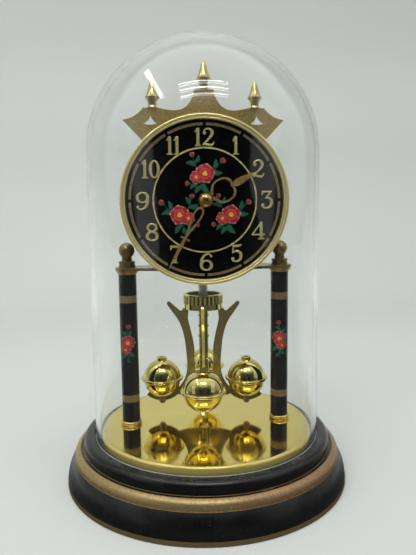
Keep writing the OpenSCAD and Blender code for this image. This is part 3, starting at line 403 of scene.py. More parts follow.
def base_finish():
    """Black lacquer with a gilt bead and a gilt foot line."""
    f = Finish("lacquered base with gilding")
    x, y, z = f.axes()
    gilt = f.plus(f.band(z, *BEAD_BAND), f.band(z, *FOOT_BAND), clamp=True)
    arc = f.times(f.around(x, y), 2 * math.pi * BASE_HIGH.x)
    black, haze = lacquer_parts(f, colours().lacquer, 0.9)
    gold, brush = gilt_parts(f, colours().gilding, arc, z)
    foot = f.span(z, 0.003, 0.006)
    gold = f.mix(foot, shade(colours().gilding, 0.62), gold)
    f.set(Base_Color=f.mix(gilt, black, gold), Metallic=f.times(gilt, 0.75))
    satin = f.plus(f.span(f.noise(70, 4, 0.6), 0.3, 0.7, 0.2, 0.34), f.times(haze, 0.4))
    rubbed = f.span(brush, 0.3, 0.75, 0.3, 0.48)
    f.set(Roughness=f.blend(gilt, satin, rubbed))
    waves = f.plus(f.times(brush, gilt), f.times(f.noise(240, 4, 0.6), 0.6))
    return f.bump(waves, 0.000008, 0.3)


def column_finish():
    """Black gloss tube with gilt bands."""
    f = Finish("black column with gilt bands")
    x, y, z = f.axes()
    high, low = COLUMN_BANDS
    gilt = f.plus(f.band(z, *high), f.band(z, *low), clamp=True)
    lines = f.maths("ABSOLUTE", f.maths("SINE", f.times(z, 2 * math.pi / BAND_LINE_PITCH)))
    black, haze = lacquer_parts(f, colours().lacquer, 0.7)
    gold, _ = gilt_parts(f, colours().aged, f.plus(x, y), z)
    gold = f.mix(f.span(lines, 0.0, 0.3, 0.55, 0.0), gold, (0.05, 0.03, 0.012))
    f.set(Base_Color=f.mix(gilt, black, gold), Metallic=f.times(gilt, 0.6))
    gloss = f.plus(f.span(f.noise(90, 4, 0.6), 0.3, 0.7, 0.12, 0.24), f.times(haze, 0.4))
    f.set(Roughness=f.blend(gilt, gloss, 0.36))
    return f.bump(f.noise(180, 4, 0.6), 0.00002, 0.4)


def dial_finish():
    """Black gloss enamel with faint lint and polish marks."""
    f = Finish("black dial enamel")
    black, haze = lacquer_parts(f, (0.0012, 0.0012, 0.0014), 0.2)
    f.set(Base_Color=black, Coat_Weight=0.4, Coat_Roughness=0.05)
    marks = f.noise(600, 3, 0.6, stretch=(1, 1, 0.12))
    f.set(Roughness=f.plus(f.span(marks, 0.35, 0.75, 0.07, 0.15), f.times(haze, 0.3)))
    return f.bump(f.noise(45, 3, 0.5), 0.00002, 0.3)


def plate_finish():
    """Polished brass sheet with hairlines, smears and a matt lip."""
    f = Finish("polished floor plate")
    colour = colours().plate
    x, y, _ = f.axes()
    reach = f.length(x, y)
    smear = f.noise(26, 5, 0.62)
    hair = f.noise(1100, 3, 0.6, stretch=(1, 0.06, 1))
    cross = f.noise(900, 3, 0.6, stretch=(0.05, 1, 1))
    scratch = f.most(f.span(hair, 0.66, 0.74), f.span(cross, 0.67, 0.75))
    spots = f.span(f.noise(520, 2, 0.7), 0.72, 0.78)
    rim = f.span(reach, PLATE_HIGH.x - 6 * MM, PLATE_HIGH.x)
    tone = f.mix(f.span(smear, 0.4, 0.7, 0.0, 0.3), colour, shade(colour, 0.84))
    tone = f.mix(f.times(spots, 0.6), tone, shade(colour, 0.25))
    tone = f.mix(f.times(rim, 0.25), tone, shade(colour, 0.6))
    lip = f.span(reach, PLATE_HIGH.x - 1.8 * MM, PLATE_HIGH.x - 1.0 * MM, 1.0, 0.62)
    f.set(Base_Color=tone, Metallic=lip)
    gloss = f.plus(f.span(smear, 0.35, 0.7, 0.05, 0.11), f.times(scratch, 0.12))
    f.set(Roughness=f.plus(gloss, f.times(rim, 0.08)))
    return f.bump(f.noise(30, 2, 0.5), 0.00006, 0.25)


def track_finish():
    """Dull gilt of the minute track with a dark dot at every minute."""
    f = Finish("minute track with dots")
    colour = colours().track
    x, _, z = f.axes(f.moved(offset=(0, 0, -DIAL_Z)))
    middle = TRACK_R - TRACK_W / 2
    minutes = f.times(f.around(z, x), 60)
    near = f.maths("PINGPONG", minutes, 0.5)
    arc = f.times(near, 2 * math.pi * middle / 60)
    out = f.minus(f.length(x, z), middle)
    dot = f.span(f.length(arc, out), 0.32 * MM, 0.42 * MM, 1.0, 0.0)
    rub = f.noise(260, 4, 0.65)
    rust = f.span(f.noise(38, 3, 0.5), 0.48, 0.6)
    tone = f.mix(f.times(rust, 0.8), colour, shade(colour, 1.15, 0.78, 0.75))
    tone = f.mix(f.span(rub, 0.38, 0.66, 0.0, 0.5), tone, shade(colour, 1.2, 1.1, 0.8))
    tone = f.mix(f.span(f.noise(1700, 2, 0.6), 0.5, 0.72, 0.0, 0.5), tone, shade(colour, 0.3))
    f.set(Base_Color=f.mix(dot, tone, (0.012, 0.009, 0.006)), Metallic=f.minus(0.7, dot, clamp=True))
    f.set(Roughness=f.span(rub, 0.3, 0.7, 0.28, 0.42))
    return f.bump(f.noise(1500, 3, 0.6), 0.00002, 0.5)


def mirror_gilt(name, colour, rough, metal=1.0):
    """Bright plated gilt with fingermarks and small pits; less metal makes it matt."""
    f = Finish(name)
    smudge = f.noise(150, 5, 0.65)
    pits = f.span(f.noise(1300, 2, 0.7), 0.72, 0.78)
    tone = f.mix(f.span(smudge, 0.42, 0.7, 0.0, 0.22), colour, shade(colour, 0.8, 0.7, 0.5))
    tone = f.mix(f.times(pits, 0.5), tone, shade(colour, 0.3))
    f.set(Base_Color=tone, Metallic=metal)
    f.set(Roughness=f.plus(f.span(smudge, 0.35, 0.7, rough, rough + 0.06), f.times(pits, 0.2)))
    return f.bump(f.noise(260, 2, 0.5), 0.00001, 0.15)


def cup_finish():
    """Plated outside of the cup, with painted shade in the grooves of its flutes, and its matt yellow
    inside.
    """
    f = mirror_gilt("fluted cup gilt with painted shade", shade(colours().pendulum, 0.9), 0.06)
    x, y, z = f.axes(f.moved(offset=(0, -CUP_Y, 0)))
    inside = f.span(f.length(x, y), CUP_R - CUP_WALL - 0.1 * MM, CUP_R - CUP_WALL + 0.1 * MM, 1.0, 0.0)
    pitch = f.minus(f.times(f.around(x, y), CUP_FLUTES), CUP_FLUTES * PENDULUM_REST_DEGREES / 360)
    fluted = f.band(z, CUP_LOW.z + CUP_BAND, CUP_HIGH.z - CUP_RIM, 0.0002)
    # Painted shade: the grooves between the flutes are darkened on the outside of the cup.
    flute_painted_shade = f.times(fluted, f.span(f.maths("PINGPONG", pitch, 0.5), 0.16, 0.36, 1.0, 0.0))
    flute_painted_shade = f.times(flute_painted_shade, f.minus(1.0, inside))
    tone = f.shader.inputs["Base Color"].links[0].from_socket
    f.set(Base_Color=f.mix(f.times(flute_painted_shade, 0.9), tone, shade(colours().pendulum, 0.08)))
    matt = f.most(f.times(inside, 0.75), f.times(fluted, 0.4))
    f.set(Metallic=f.minus(1.0, matt))
    return f


def steel_finish(name, colour=(0.55, 0.55, 0.56), rough=0.28, metal=1.0):
    """Drawn steel with fine lines along the piece."""
    f = Finish(name)
    lines = f.noise(2400, 3, 0.6, stretch=(1, 1, 0.06))
    cloud = f.noise(110, 4, 0.6)
    tone = f.mix(f.span(lines, 0.35, 0.7, 0.0, 0.4), colour, shade(colour, 0.6))
    f.set(Base_Color=f.mix(f.span(cloud, 0.45, 0.7, 0.0, 0.3), tone, shade(colour, 0.5)), Metallic=metal)
    f.set(Roughness=f.span(lines, 0.3, 0.75, rough * 0.8, rough * 1.3))
    return f.bump(lines, 0.00001, 0.4)


def plastic_finish(name, colour, rough, grain=1500, relief=0.00003):
    """Moulded plastic with a spark-eroded grain and scuffs."""
    f = Finish(name)
    erosion = f.noise(grain, 3, 0.7)
    scuff = f.span(f.noise(55, 5, 0.65), 0.52, 0.7)
    tone = f.mix(f.span(erosion, 0.35, 0.7, 0.0, 0.3), colour, shade(colour, 0.6))
    f.set(Base_Color=f.mix(f.times(scuff, 0.35), tone, pale(colour, 1.7, 0.01)))
    f.set(Roughness=f.plus(f.span(erosion, 0.3, 0.75, rough * 0.9, rough * 1.15), f.times(scuff, 0.08)))
    return f.bump(erosion, relief, 0.5)


def felt_finish():
    """Pressed wool felt."""
    f = Finish("green felt")
    fibre = f.noise(2600, 5, 0.75)
    nap = f.noise(160, 4, 0.6)
    tone = f.mix(f.span(fibre, 0.3, 0.72), (0.012, 0.03, 0.014), (0.045, 0.085, 0.05))
    f.set(Base_Color=f.mix(f.span(nap, 0.4, 0.7, 0.0, 0.5), tone, (0.016, 0.04, 0.02)), Roughness=0.95,
          Sheen_Weight=0.4)
    return f.bump(fibre, 0.00025, 0.8)


def board_finish():
    """Green solder mask with traces and pads; chip and crystal behind it."""
    f = Finish("circuit board")
    x, y, z = f.axes()
    grid = {"Vector": f.place, "Scale": 260.0, "Mortar Size": 0.06}
    grid |= {"Color1": (0, 0, 0), "Color2": (0, 0, 0), "Mortar": (1, 1, 1)}
    cells = f.add("TexBrick", grid).outputs["Fac"]
    lines = f.add("TexVoronoi", {"Vector": f.point(x, z), "Scale": 300.0}, distance="MANHATTAN",
                  feature="DISTANCE_TO_EDGE").outputs["Distance"]
    trace = f.most(f.span(lines, 0.03, 0.06, 1.0, 0.0), f.times(cells, 0.3))
    mask = f.mix(f.span(f.noise(180, 3, 0.6), 0.35, 0.7), (0.012, 0.1, 0.035), (0.02, 0.14, 0.05))
    mask = f.mix(f.times(trace, 0.6), mask, (0.05, 0.26, 0.1))
    parts = f.span(y, BOARD_HIGH.y - 1.35 * MM, BOARD_HIGH.y - 1.3 * MM)
    f.set(Base_Color=f.mix(parts, mask, (0.012, 0.012, 0.013)))
    f.set(Roughness=f.span(f.noise(300), 0.3, 0.7, 0.28, 0.45))
    return f.bump(trace, 0.00004, 0.5)


def coil_finish(name, along):
    """Enamelled copper wire in close turns, with painted shade in the grooves between them; along names the
    winding's axis.
    """
    f = Finish(name)
    lane = f.axes()[along]
    turns = f.maths("ABSOLUTE", f.maths("SINE", f.times(lane, math.pi / WIRE_PITCH)))
    # Painted shade: the wire is darkened in the grooves between its turns.
    tone = f.mix(f.span(turns, 0.05, 0.6), (0.1, 0.03, 0.012), (0.5, 0.2, 0.08))
    tone = f.mix(f.span(f.noise(260), 0.45, 0.7, 0.0, 0.4), tone, (0.3, 0.1, 0.04))
    f.set(Base_Color=tone, Metallic=0.85)
    f.set(Roughness=f.span(turns, 0.0, 1.0, 0.45, 0.25))
    return f.bump(turns, 0.0001, 0.8)


def battery_finish():
    """Plain cell: dark jacket below, copper jacket above, steel ends."""
    f = Finish("plain cell")
    z = f.axes()[2]
    low, high = BATTERY_LOW.z, BATTERY_HIGH.z
    split = low + 0.68 * (high - low)
    wear = f.noise(900, 3, 0.6, stretch=(1, 1, 0.2))
    dark = f.mix(f.span(wear, 0.4, 0.7), (0.012, 0.012, 0.014), (0.03, 0.03, 0.034))
    copper = f.mix(f.span(wear, 0.4, 0.7), (0.5, 0.2, 0.07), (0.38, 0.14, 0.05))
    tone = f.mix(f.span(z, split - 0.0001, split + 0.0001), dark, copper)
    top = f.span(z, high - 2.2 * MM, high - 2.1 * MM)
    bottom = f.span(z, low + 0.4 * MM, low + 0.5 * MM, 1.0, 0.0)
    ends = f.plus(top, bottom, clamp=True)
    tone = f.mix(ends, tone, (0.6, 0.6, 0.6))
    metal = f.most(ends, f.span(z, split - 0.0001, split + 0.0001, 0.15, 0.8))
    f.set(Base_Color=tone, Metallic=metal, Roughness=f.span(wear, 0.3, 0.7, 0.22, 0.36))
    return f.bump(wear, 0.00001, 0.3)


def glass_finish():
    """Clear blown glass: light passes it, with faint smears in its polish."""
    f = Finish("clear dome glass")
    f.set(Base_Color=(0.975, 0.985, 0.98), Transmission_Weight=1.0, Roughness=0.0, IOR=1.46)
    f.bump(f.noise(9, 2, 0.5), 0.0002, 0.05)
    clear = f.add("BsdfTransparent", {"Color": (0.95, 0.96, 0.955)})
    shadow = f.add("LightPath").outputs["Is Shadow Ray"]
    both = f.add("MixShader", {0: shadow, 1: f.shader.outputs[0], 2: clear.outputs[0]})
    f.tree.links.new(both.outputs[0], f.output.inputs["Surface"])
    return f


def ground_finish():
    """Ground foot of the dome: finely pitted glass, pale partly from its grinding and partly as a painted
    highlight along the foot.
    """
    f = Finish("ground glass foot with painted highlight")
    pits = f.noise(2400, 3, 0.7)
    wave = f.noise(60, 3, 0.6)
    # Partly painted highlight: the pale colour also stands for the bright line along the dome's foot.
    f.set(Base_Color=f.mix(f.span(pits, 0.35, 0.7), (0.66, 0.69, 0.66), (0.42, 0.45, 0.43)))
    f.set(Roughness=f.span(wave, 0.3, 0.7, 0.18, 0.4))
    return f.bump(pits, 0.00003, 0.5)


def petal_finish(name, colour, rim):
    """Painted petal: deep at the heart, pale along its rim, with brush lines from heart to tip."""
    f = Finish(name)
    u, v, side = f.painted()
    lines = f.noise(1, 3, 0.6, place=f.point(f.times(u, 13), f.times(v, 1.6)))
    heart = f.span(v, 0.1, 0.75, 0.9, 0.0)
    edge = f.most(f.span(side, 0.82, 0.99), f.span(v, 0.88, 0.99))
    tone = f.mix(heart, colour, shade(colour, 0.06))
    tone = f.mix(f.span(lines, 0.54, 0.7, 0.0, 0.55), tone, rim)
    tone = f.mix(f.times(edge, 0.85), tone, rim)
    f.set(Base_Color=tone, Roughness=f.span(lines, 0.3, 0.7, 0.3, 0.45))
    return f.bump(lines, 0.00004, 0.5)


def leaf_finish(name, colour):
    """Painted leaf with a pale midrib and side veins."""
    f = Finish(name)
    _, v, side = f.painted()
    rib = f.span(side, 0.05, 0.16, 1.0, 0.0)
    slant = f.minus(f.times(v, 7), f.times(side, 1.6))
    vein = f.span(f.maths("PINGPONG", slant, 0.5), 0.03, 0.13, 0.45, 0.0)
    light = pale(colour, 1.8, 0.012)
    tone = f.mix(f.span(v, 0.0, 1.0, 0.5, 0.0), colour, shade(colour, 0.45))
    tone = f.mix(f.span(f.noise(800, 3, 0.6), 0.4, 0.7, 0.0, 0.4), tone, light)
    f.set(Base_Color=f.mix(f.most(rib, vein), tone, light), Roughness=0.38)
    return f.bump(rib, 0.00003, 0.5)


def stamen_finish():
    """Grainy yellow heart of a blossom."""
    f = Finish("yellow stamens")
    grain = f.noise(3200, 2, 0.6)
    f.set(Base_Color=f.mix(f.span(grain, 0.35, 0.65), (0.5, 0.25, 0.02), (0.85, 0.6, 0.12)), Roughness=0.45)
    return f.bump(grain, 0.0001, 0.8)


# Making pieces

def only(*objects):
    """Selects these objects alone; the first is active."""
    bpy.ops.object.select_all(action="DESELECT")
    for o in objects:
        o.select_set(True)
    bpy.context.view_layer.objects.active = objects[0]


def linked(name, data):
    """A new object with this data, in the scene."""
    made = bpy.data.objects.new(name, data)
    bpy.context.scene.collection.objects.link(made)
    return made


def dress(finish, *nodes):
    """CAD nodes keep their shape and get a better finish."""
    for node in nodes:
        for slot in frame["nodes"][node].material_slots:
            slot.material = finish.material


def settle(piece, body, finish=None):
    """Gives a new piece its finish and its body."""
    if finish:
        piece.data.materials.clear()
        piece.data.materials.append(finish.material)
    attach(piece, body)


def modify(piece, kind, **settings):
    """Adds a modifier and applies it."""
    only(piece)
    bpy.ops.object.modifier_add(type=kind)
    modifier = piece.modifiers[-1]
    for key, value in settings.items():
        setattr(modifier, key, value)
    bpy.ops.object.modifier_apply(modifier=modifier.name)


def smoothed(piece, degrees):
    """Smooth shading, with edges sharper than this kept sharp."""
    only(piece)
    bpy.ops.object.shade_smooth_by_angle(angle=math.radians(degrees))


# Rounded edges: points this close are merged, faces this flat are joined, edges this sharp are rounded
MERGE_GAP = 2e-6
FLAT_ANGLE, CORNER_ANGLE = math.radians(0.4), math.radians(40)


def edges_rounded(node, finish, rounding, segments=2):
    """A merged copy of a CAD node with rounded edges stands for the node."""
    piece = linked(f"{node}_rounded", frame["nodes"][node].data.copy())
    only(piece)
    bpy.ops.mesh.customdata_custom_splitnormals_clear()
    bpy.ops.object.mode_set(mode="EDIT")
    bpy.ops.mesh.select_all(action="SELECT")
    bpy.ops.mesh.remove_doubles(threshold=MERGE_GAP)
    bpy.ops.mesh.dissolve_limited(angle_limit=FLAT_ANGLE)
    bpy.ops.object.mode_set(mode="OBJECT")
    modify(piece, "BEVEL", width=rounding, segments=segments, limit_method="ANGLE",
           angle_limit=CORNER_ANGLE, miter_outer="MITER_ARC", use_clamp_overlap=True)
    smoothed(piece, 38)
    modify(piece, "WEIGHTED_NORMAL", keep_sharp=True)
    settle(piece, BODIES[node], finish)
    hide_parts(node)


def smooth_path(points, steps=8):
    """Points of a curve that passes through all the given ones."""
    rows = [Vector(p) for p in points]
    rows = [2 * rows[0] - rows[1], *rows, 2 * rows[-1] - rows[-2]]
    path = []
    for a, b, c, d in zip(rows, rows[1:], rows[2:], rows[3:]):
        for i in range(steps):
            t = i / steps
            path.append(0.5 * (2 * b + (c - a) * t + (2 * a - 5 * b + 4 * c - d) * t * t
                               + (3 * b - a - 3 * c + d) * t * t * t))
    return path + [rows[-2]]


def stroke_outline(points):
    """Closed outline of a stroke whose points are x, y and width."""
    path = smooth_path(points)
    left, right = [], []
    for i, p in enumerate(path):
        ahead, behind = path[min(i + 1, len(path) - 1)], path[max(i - 1, 0)]
        run = (ahead.xy - behind.xy).normalized()
        across = Vector((-run.y, run.x)) * p.z / 2
        left.append(p.xy + across)
        right.append(p.xy - across)
    return right + left[::-1]


def outlines_united(shapes):
    """Closed outlines around everything that the overlapping shapes cover."""
    points, faces = [], []
    for shape in shapes:
        faces.append(list(range(len(points), len(points) + len(shape))))
        points += [Vector(p[:2]) for p in shape]
    places, _, cells, _, _, origins = delaunay_2d_cdt(points, [], faces, 1, 1e-5)
    nexts = {}
    sides = set()
    for cell, origin in zip(cells, origins):
        if origin:
            sides |= {(cell[i], cell[(i + 1) % len(cell)]) for i in range(len(cell))}
    for a, b in sides:
        if (b, a) not in sides:
            nexts.setdefault(a, []).append(b)
    loops = []
    while nexts:
        start = next(iter(nexts))
        loop, at = [], start
        while at in nexts:
            loop.append(at)
            following = nexts[at].pop()
            if not nexts[at]:
                del nexts[at]
            at = following
        if len(loop) > 2:
            loops.append([places[i] for i in loop])
    return loops


def raised_shape(name, loops, thick, edge):
    """A flat curve, filled and given a rounded edge, made a mesh that lies on the drawing plane."""
    drawing = bpy.data.curves.new(name, "CURVE")
    drawing.dimensions = "2D"
    drawing.fill_mode = "BOTH"
    for loop in loops:
        spline = drawing.splines.new("POLY")
        spline.points.add(len(loop) - 1)
        for point, place in zip(spline.points, loop):
            point.co = (place.x, place.y, 0, 1)
        spline.use_cyclic_u = True
    drawing.extrude = thick / 2 - edge
    drawing.bevel_depth = edge
    drawing.bevel_resolution = 2
    drawing.offset = -edge
    only(linked(name, drawing))
    bpy.ops.object.convert(target="MESH")
    piece = bpy.context.object
    bpy.ops.object.mode_set(mode="EDIT")
    bpy.ops.mesh.select_all(action="SELECT")
    bpy.ops.mesh.remove_doubles(threshold=1e-7)
    bpy.ops.mesh.normals_make_consistent(inside=False)
    bpy.ops.object.mode_set(mode="OBJECT")
    return piece


def facing_viewer(x, rise, height):
    """Carries a drawing to the dial: its up is +Z, and it looks along -Y."""
    return Matrix.Translation((x, DIAL_FACE - rise, DIAL_Z + height)) @ Matrix.Rotation(math.pi / 2, 4, "X")


def patch(name, along, across, form, finish):
    """A grid whose points go to form(u, t), with u from -1 to 1 across and t from 0 to 1 along."""
    bpy.ops.mesh.primitive_grid_add(x_subdivisions=across, y_subdivisions=along, size=2)
    piece = bpy.context.object
    piece.name = name
    for v in piece.data.vertices:
        v.co = form(v.co.x, (v.co.y + 1) / 2)
    piece.data.materials.append(finish.material)
    return piece


def turned(x, y, angle):
    c, s = math.cos(angle), math.sin(angle)
    return x * c - y * s, x * s + y * c


def petal(at, length, width, angle, height, finish, notch, cup):
    """One petal from a blossom's heart outwards; angle is counted from up, anticlockwise."""

    def form(u, t):
        wide = math.sqrt(max(0.0, 1 - max(0.0, (t - 0.6) / 0.4) ** 2.2)) * min(1.0, 0.2 + 1.35 * t)
        reach = t * (1 - notch * math.exp(-(u / 0.32) ** 2) - 0.1 * u * u)
        x, y = turned(u * wide * width / 2, reach * length, angle)
        lift = height + cup * (math.sin(math.pi * t) * (1 - 0.5 * u * u))
        return Vector((at[0] + x, at[1] + y, lift))

    return patch("petal", 8, 8, form, finish)


def leaf(at, length, width, angle, height, finish, bend=0.12):
    """One pointed leaf from its stalk to its tip."""

    def form(u, t):
        wide = math.sin(math.pi * t ** 0.8) ** 0.85 * (1 - 0.15 * math.sin(9 * math.pi * t) ** 2 * abs(u))
        x = u * wide * width / 2 + bend * length * math.sin(math.pi * t)
        x, y = turned(x, t * length, angle)
        return Vector((at[0] + x, at[1] + y, height + 0.08 * math.sin(math.pi * t) * (1 - abs(u))))

    return patch("leaf", 12, 6, form, finish)


def stem(points, width, height, finish):
    """A stalk along a curve through the given points, tapering to its end."""
    path = smooth_path([(*p, 0) for p in points], 6)

    def form(u, t):
        i = min(int(round(t * (len(path) - 1))), len(path) - 1)
        run = (path[min(i + 1, len(path) - 1)] - path[max(i - 1, 0)]).normalized()
        half = width / 2 * (1 - 0.6 * t)
        lift = height + 0.05 * (1 - u * u)
        return Vector((path[i].x - run.y * u * half, path[i].y + run.x * u * half, lift))

    return patch("stem", len(path) - 1, 2, form, finish)


# Rings of petals: count, turn, length, width, rise, rise of every other one, paint, notch, cup
PETAL_RINGS = (
    (5, 0.0, 1.0, 0.98, 0.0, 0.02, "petal", 0.12, 0.18),
    (5, 0.5, 0.6, 0.56, 0.16, 0.0, "inner", 0.08, 0.14),
    (3, 0.0, 0.26, 0.34, 0.3, 0.0, "stamen", 0.0, 0.1),
)


def blossom(at, size, turn, height, paints):
    """Five notched petals, five smaller ones between them and a grainy heart."""
    pieces = []
    for count, shift, long, wide, rise, step, paint, notch, cup in PETAL_RINGS:
        for i in range(count):
            angle = turn + (i + shift) * 2 * math.pi / count
            lift = height + rise + step * (i % 2)
            pieces.append(petal(at, size * long, size * wide, angle, lift, paints[paint], notch, cup))
    return pieces


def bud(at, size, angle, height, paints):
    """A closed bud between two sepals."""
    pieces = []
    for i, turn in enumerate((-0.28, 0.28, 0.0)):
        paint = paints["petal" if i else "inner"]
        pieces.append(petal(at, size, size * 0.55, angle + turn, height + 0.03 * i, paint, 0.0, 0.2))
    for turn in (-0.5, 0.5):
        pieces.append(leaf(at, size * 0.75, size * 0.3, angle + turn, height + 0.12, paints["leaf"], 0.0))
    return pieces


def joined(name, pieces, carry):
    """The patches as one closed piece, carried to its place."""
    only(*pieces)
    bpy.ops.object.join()
    piece = bpy.context.object
    piece.name = name
    modify(piece, "SOLIDIFY", thickness=0.05, offset=-1.0, use_even_offset=False)
    for v in piece.data.vertices:
        v.co = carry(v.co)
    smoothed(piece, 50)
    return piece


# Flower sprigs, in millimetres about the larger blossom.
# Stems: points, width. Leaves: place, length, width, turn.
# Buds: place, size, turn. Blossoms: place, size, turn, rise.
DIAL_SPRIG = {
    "stem_rise": 0.04, "leaf_rise": 0.07, "bud_rise": 0.1,
    "stems": [(((0, 0), (2.2, -4.5), (1.2, -9.5)), 0.55), (((0, 0), (-4.5, 1.5), (-8.2, 5.6)), 0.5),
              (((0, 0), (4.6, 3.2), (6.2, 8.4)), 0.5), (((2, -4), (5, -6), (8, -5.2)), 0.4)],
    "leaves": [((1.4, -5), 6.4, 3.0, 2.5), ((1.6, -6.4), 5.6, 2.8, -2.4), ((-3.4, 1.4), 6.2, 3.0, 1.75),
               ((-4.6, 2.6), 5.0, 2.6, 0.25), ((4.6, 4.2), 5.6, 2.8, -1.35), ((5.2, 5.4), 4.6, 2.4, 0.5),
               ((4.2, -5.4), 4.6, 2.4, -2.2)],
    "buds": [((-8.0, 5.4), 3.4, 0.9), ((6.2, 8.2), 3.0, -0.25), ((7.8, -5.2), 2.8, -1.5)],
    "blossoms": [((0, 0), 5.6, 0.2, 0.12), ((4.6, -1.9), 3.7, 0.7, 0.22)],
}
COLUMN_SPRIG = {
    "stem_rise": 0.03, "leaf_rise": 0.05, "bud_rise": 0.06,
    "stems": [(((0, 0.5), (-0.8, -4.5), (0.6, -11.2)), 0.55), (((0, 0.5), (0.9, 4.6), (-0.4, 8.6)), 0.5)],
    "leaves": [((-0.4, -4.2), 4.8, 2.7, 2.3), ((-0.2, -5.6), 4.6, 2.6, -2.3), ((0.2, -8), 3.6, 2.0, 2.6),
               ((0.8, 4.2), 4.4, 2.4, -0.8), ((0.7, 5.2), 4.0, 2.2, 0.9), ((0.2, 2.4), 4.6, 2.5, 1.35)],
    "buds": [((-0.3, 8.2), 3.2, 0.1)],
    "blossoms": [((0, 0.6), 4.7, 0.3, 0.08), ((1.4, -3.4), 2.9, 0.9, 0.16)],
}


def sprig(plan, paints, side):
    """The stalks, leaves, buds and blossoms of a plan, mirrored where side is -1."""
    green = paints["leaf"]
    pieces = []
    for points, width in plan["stems"]:
        pieces.append(stem([(x * side, y) for x, y in points], width, plan["stem_rise"], green))
    for (x, y), length, width, turn in plan["leaves"]:
        pieces.append(leaf((x * side, y), length, width, turn * side, plan["leaf_rise"], green))
    for (x, y), size, turn in plan["buds"]:
        pieces += bud((x * side, y), size, turn * side, plan["bud_rise"], paints)
    for (x, y), size, turn, rise in plan["blossoms"]:
        pieces += blossom((x * side, y), size, turn * side, rise, paints)
    return pieces


# Operators, one for each piece or group of like pieces

class ClockStep:
    """Options that all steps share"""

    bl_options = {"REGISTER", "UNDO"}


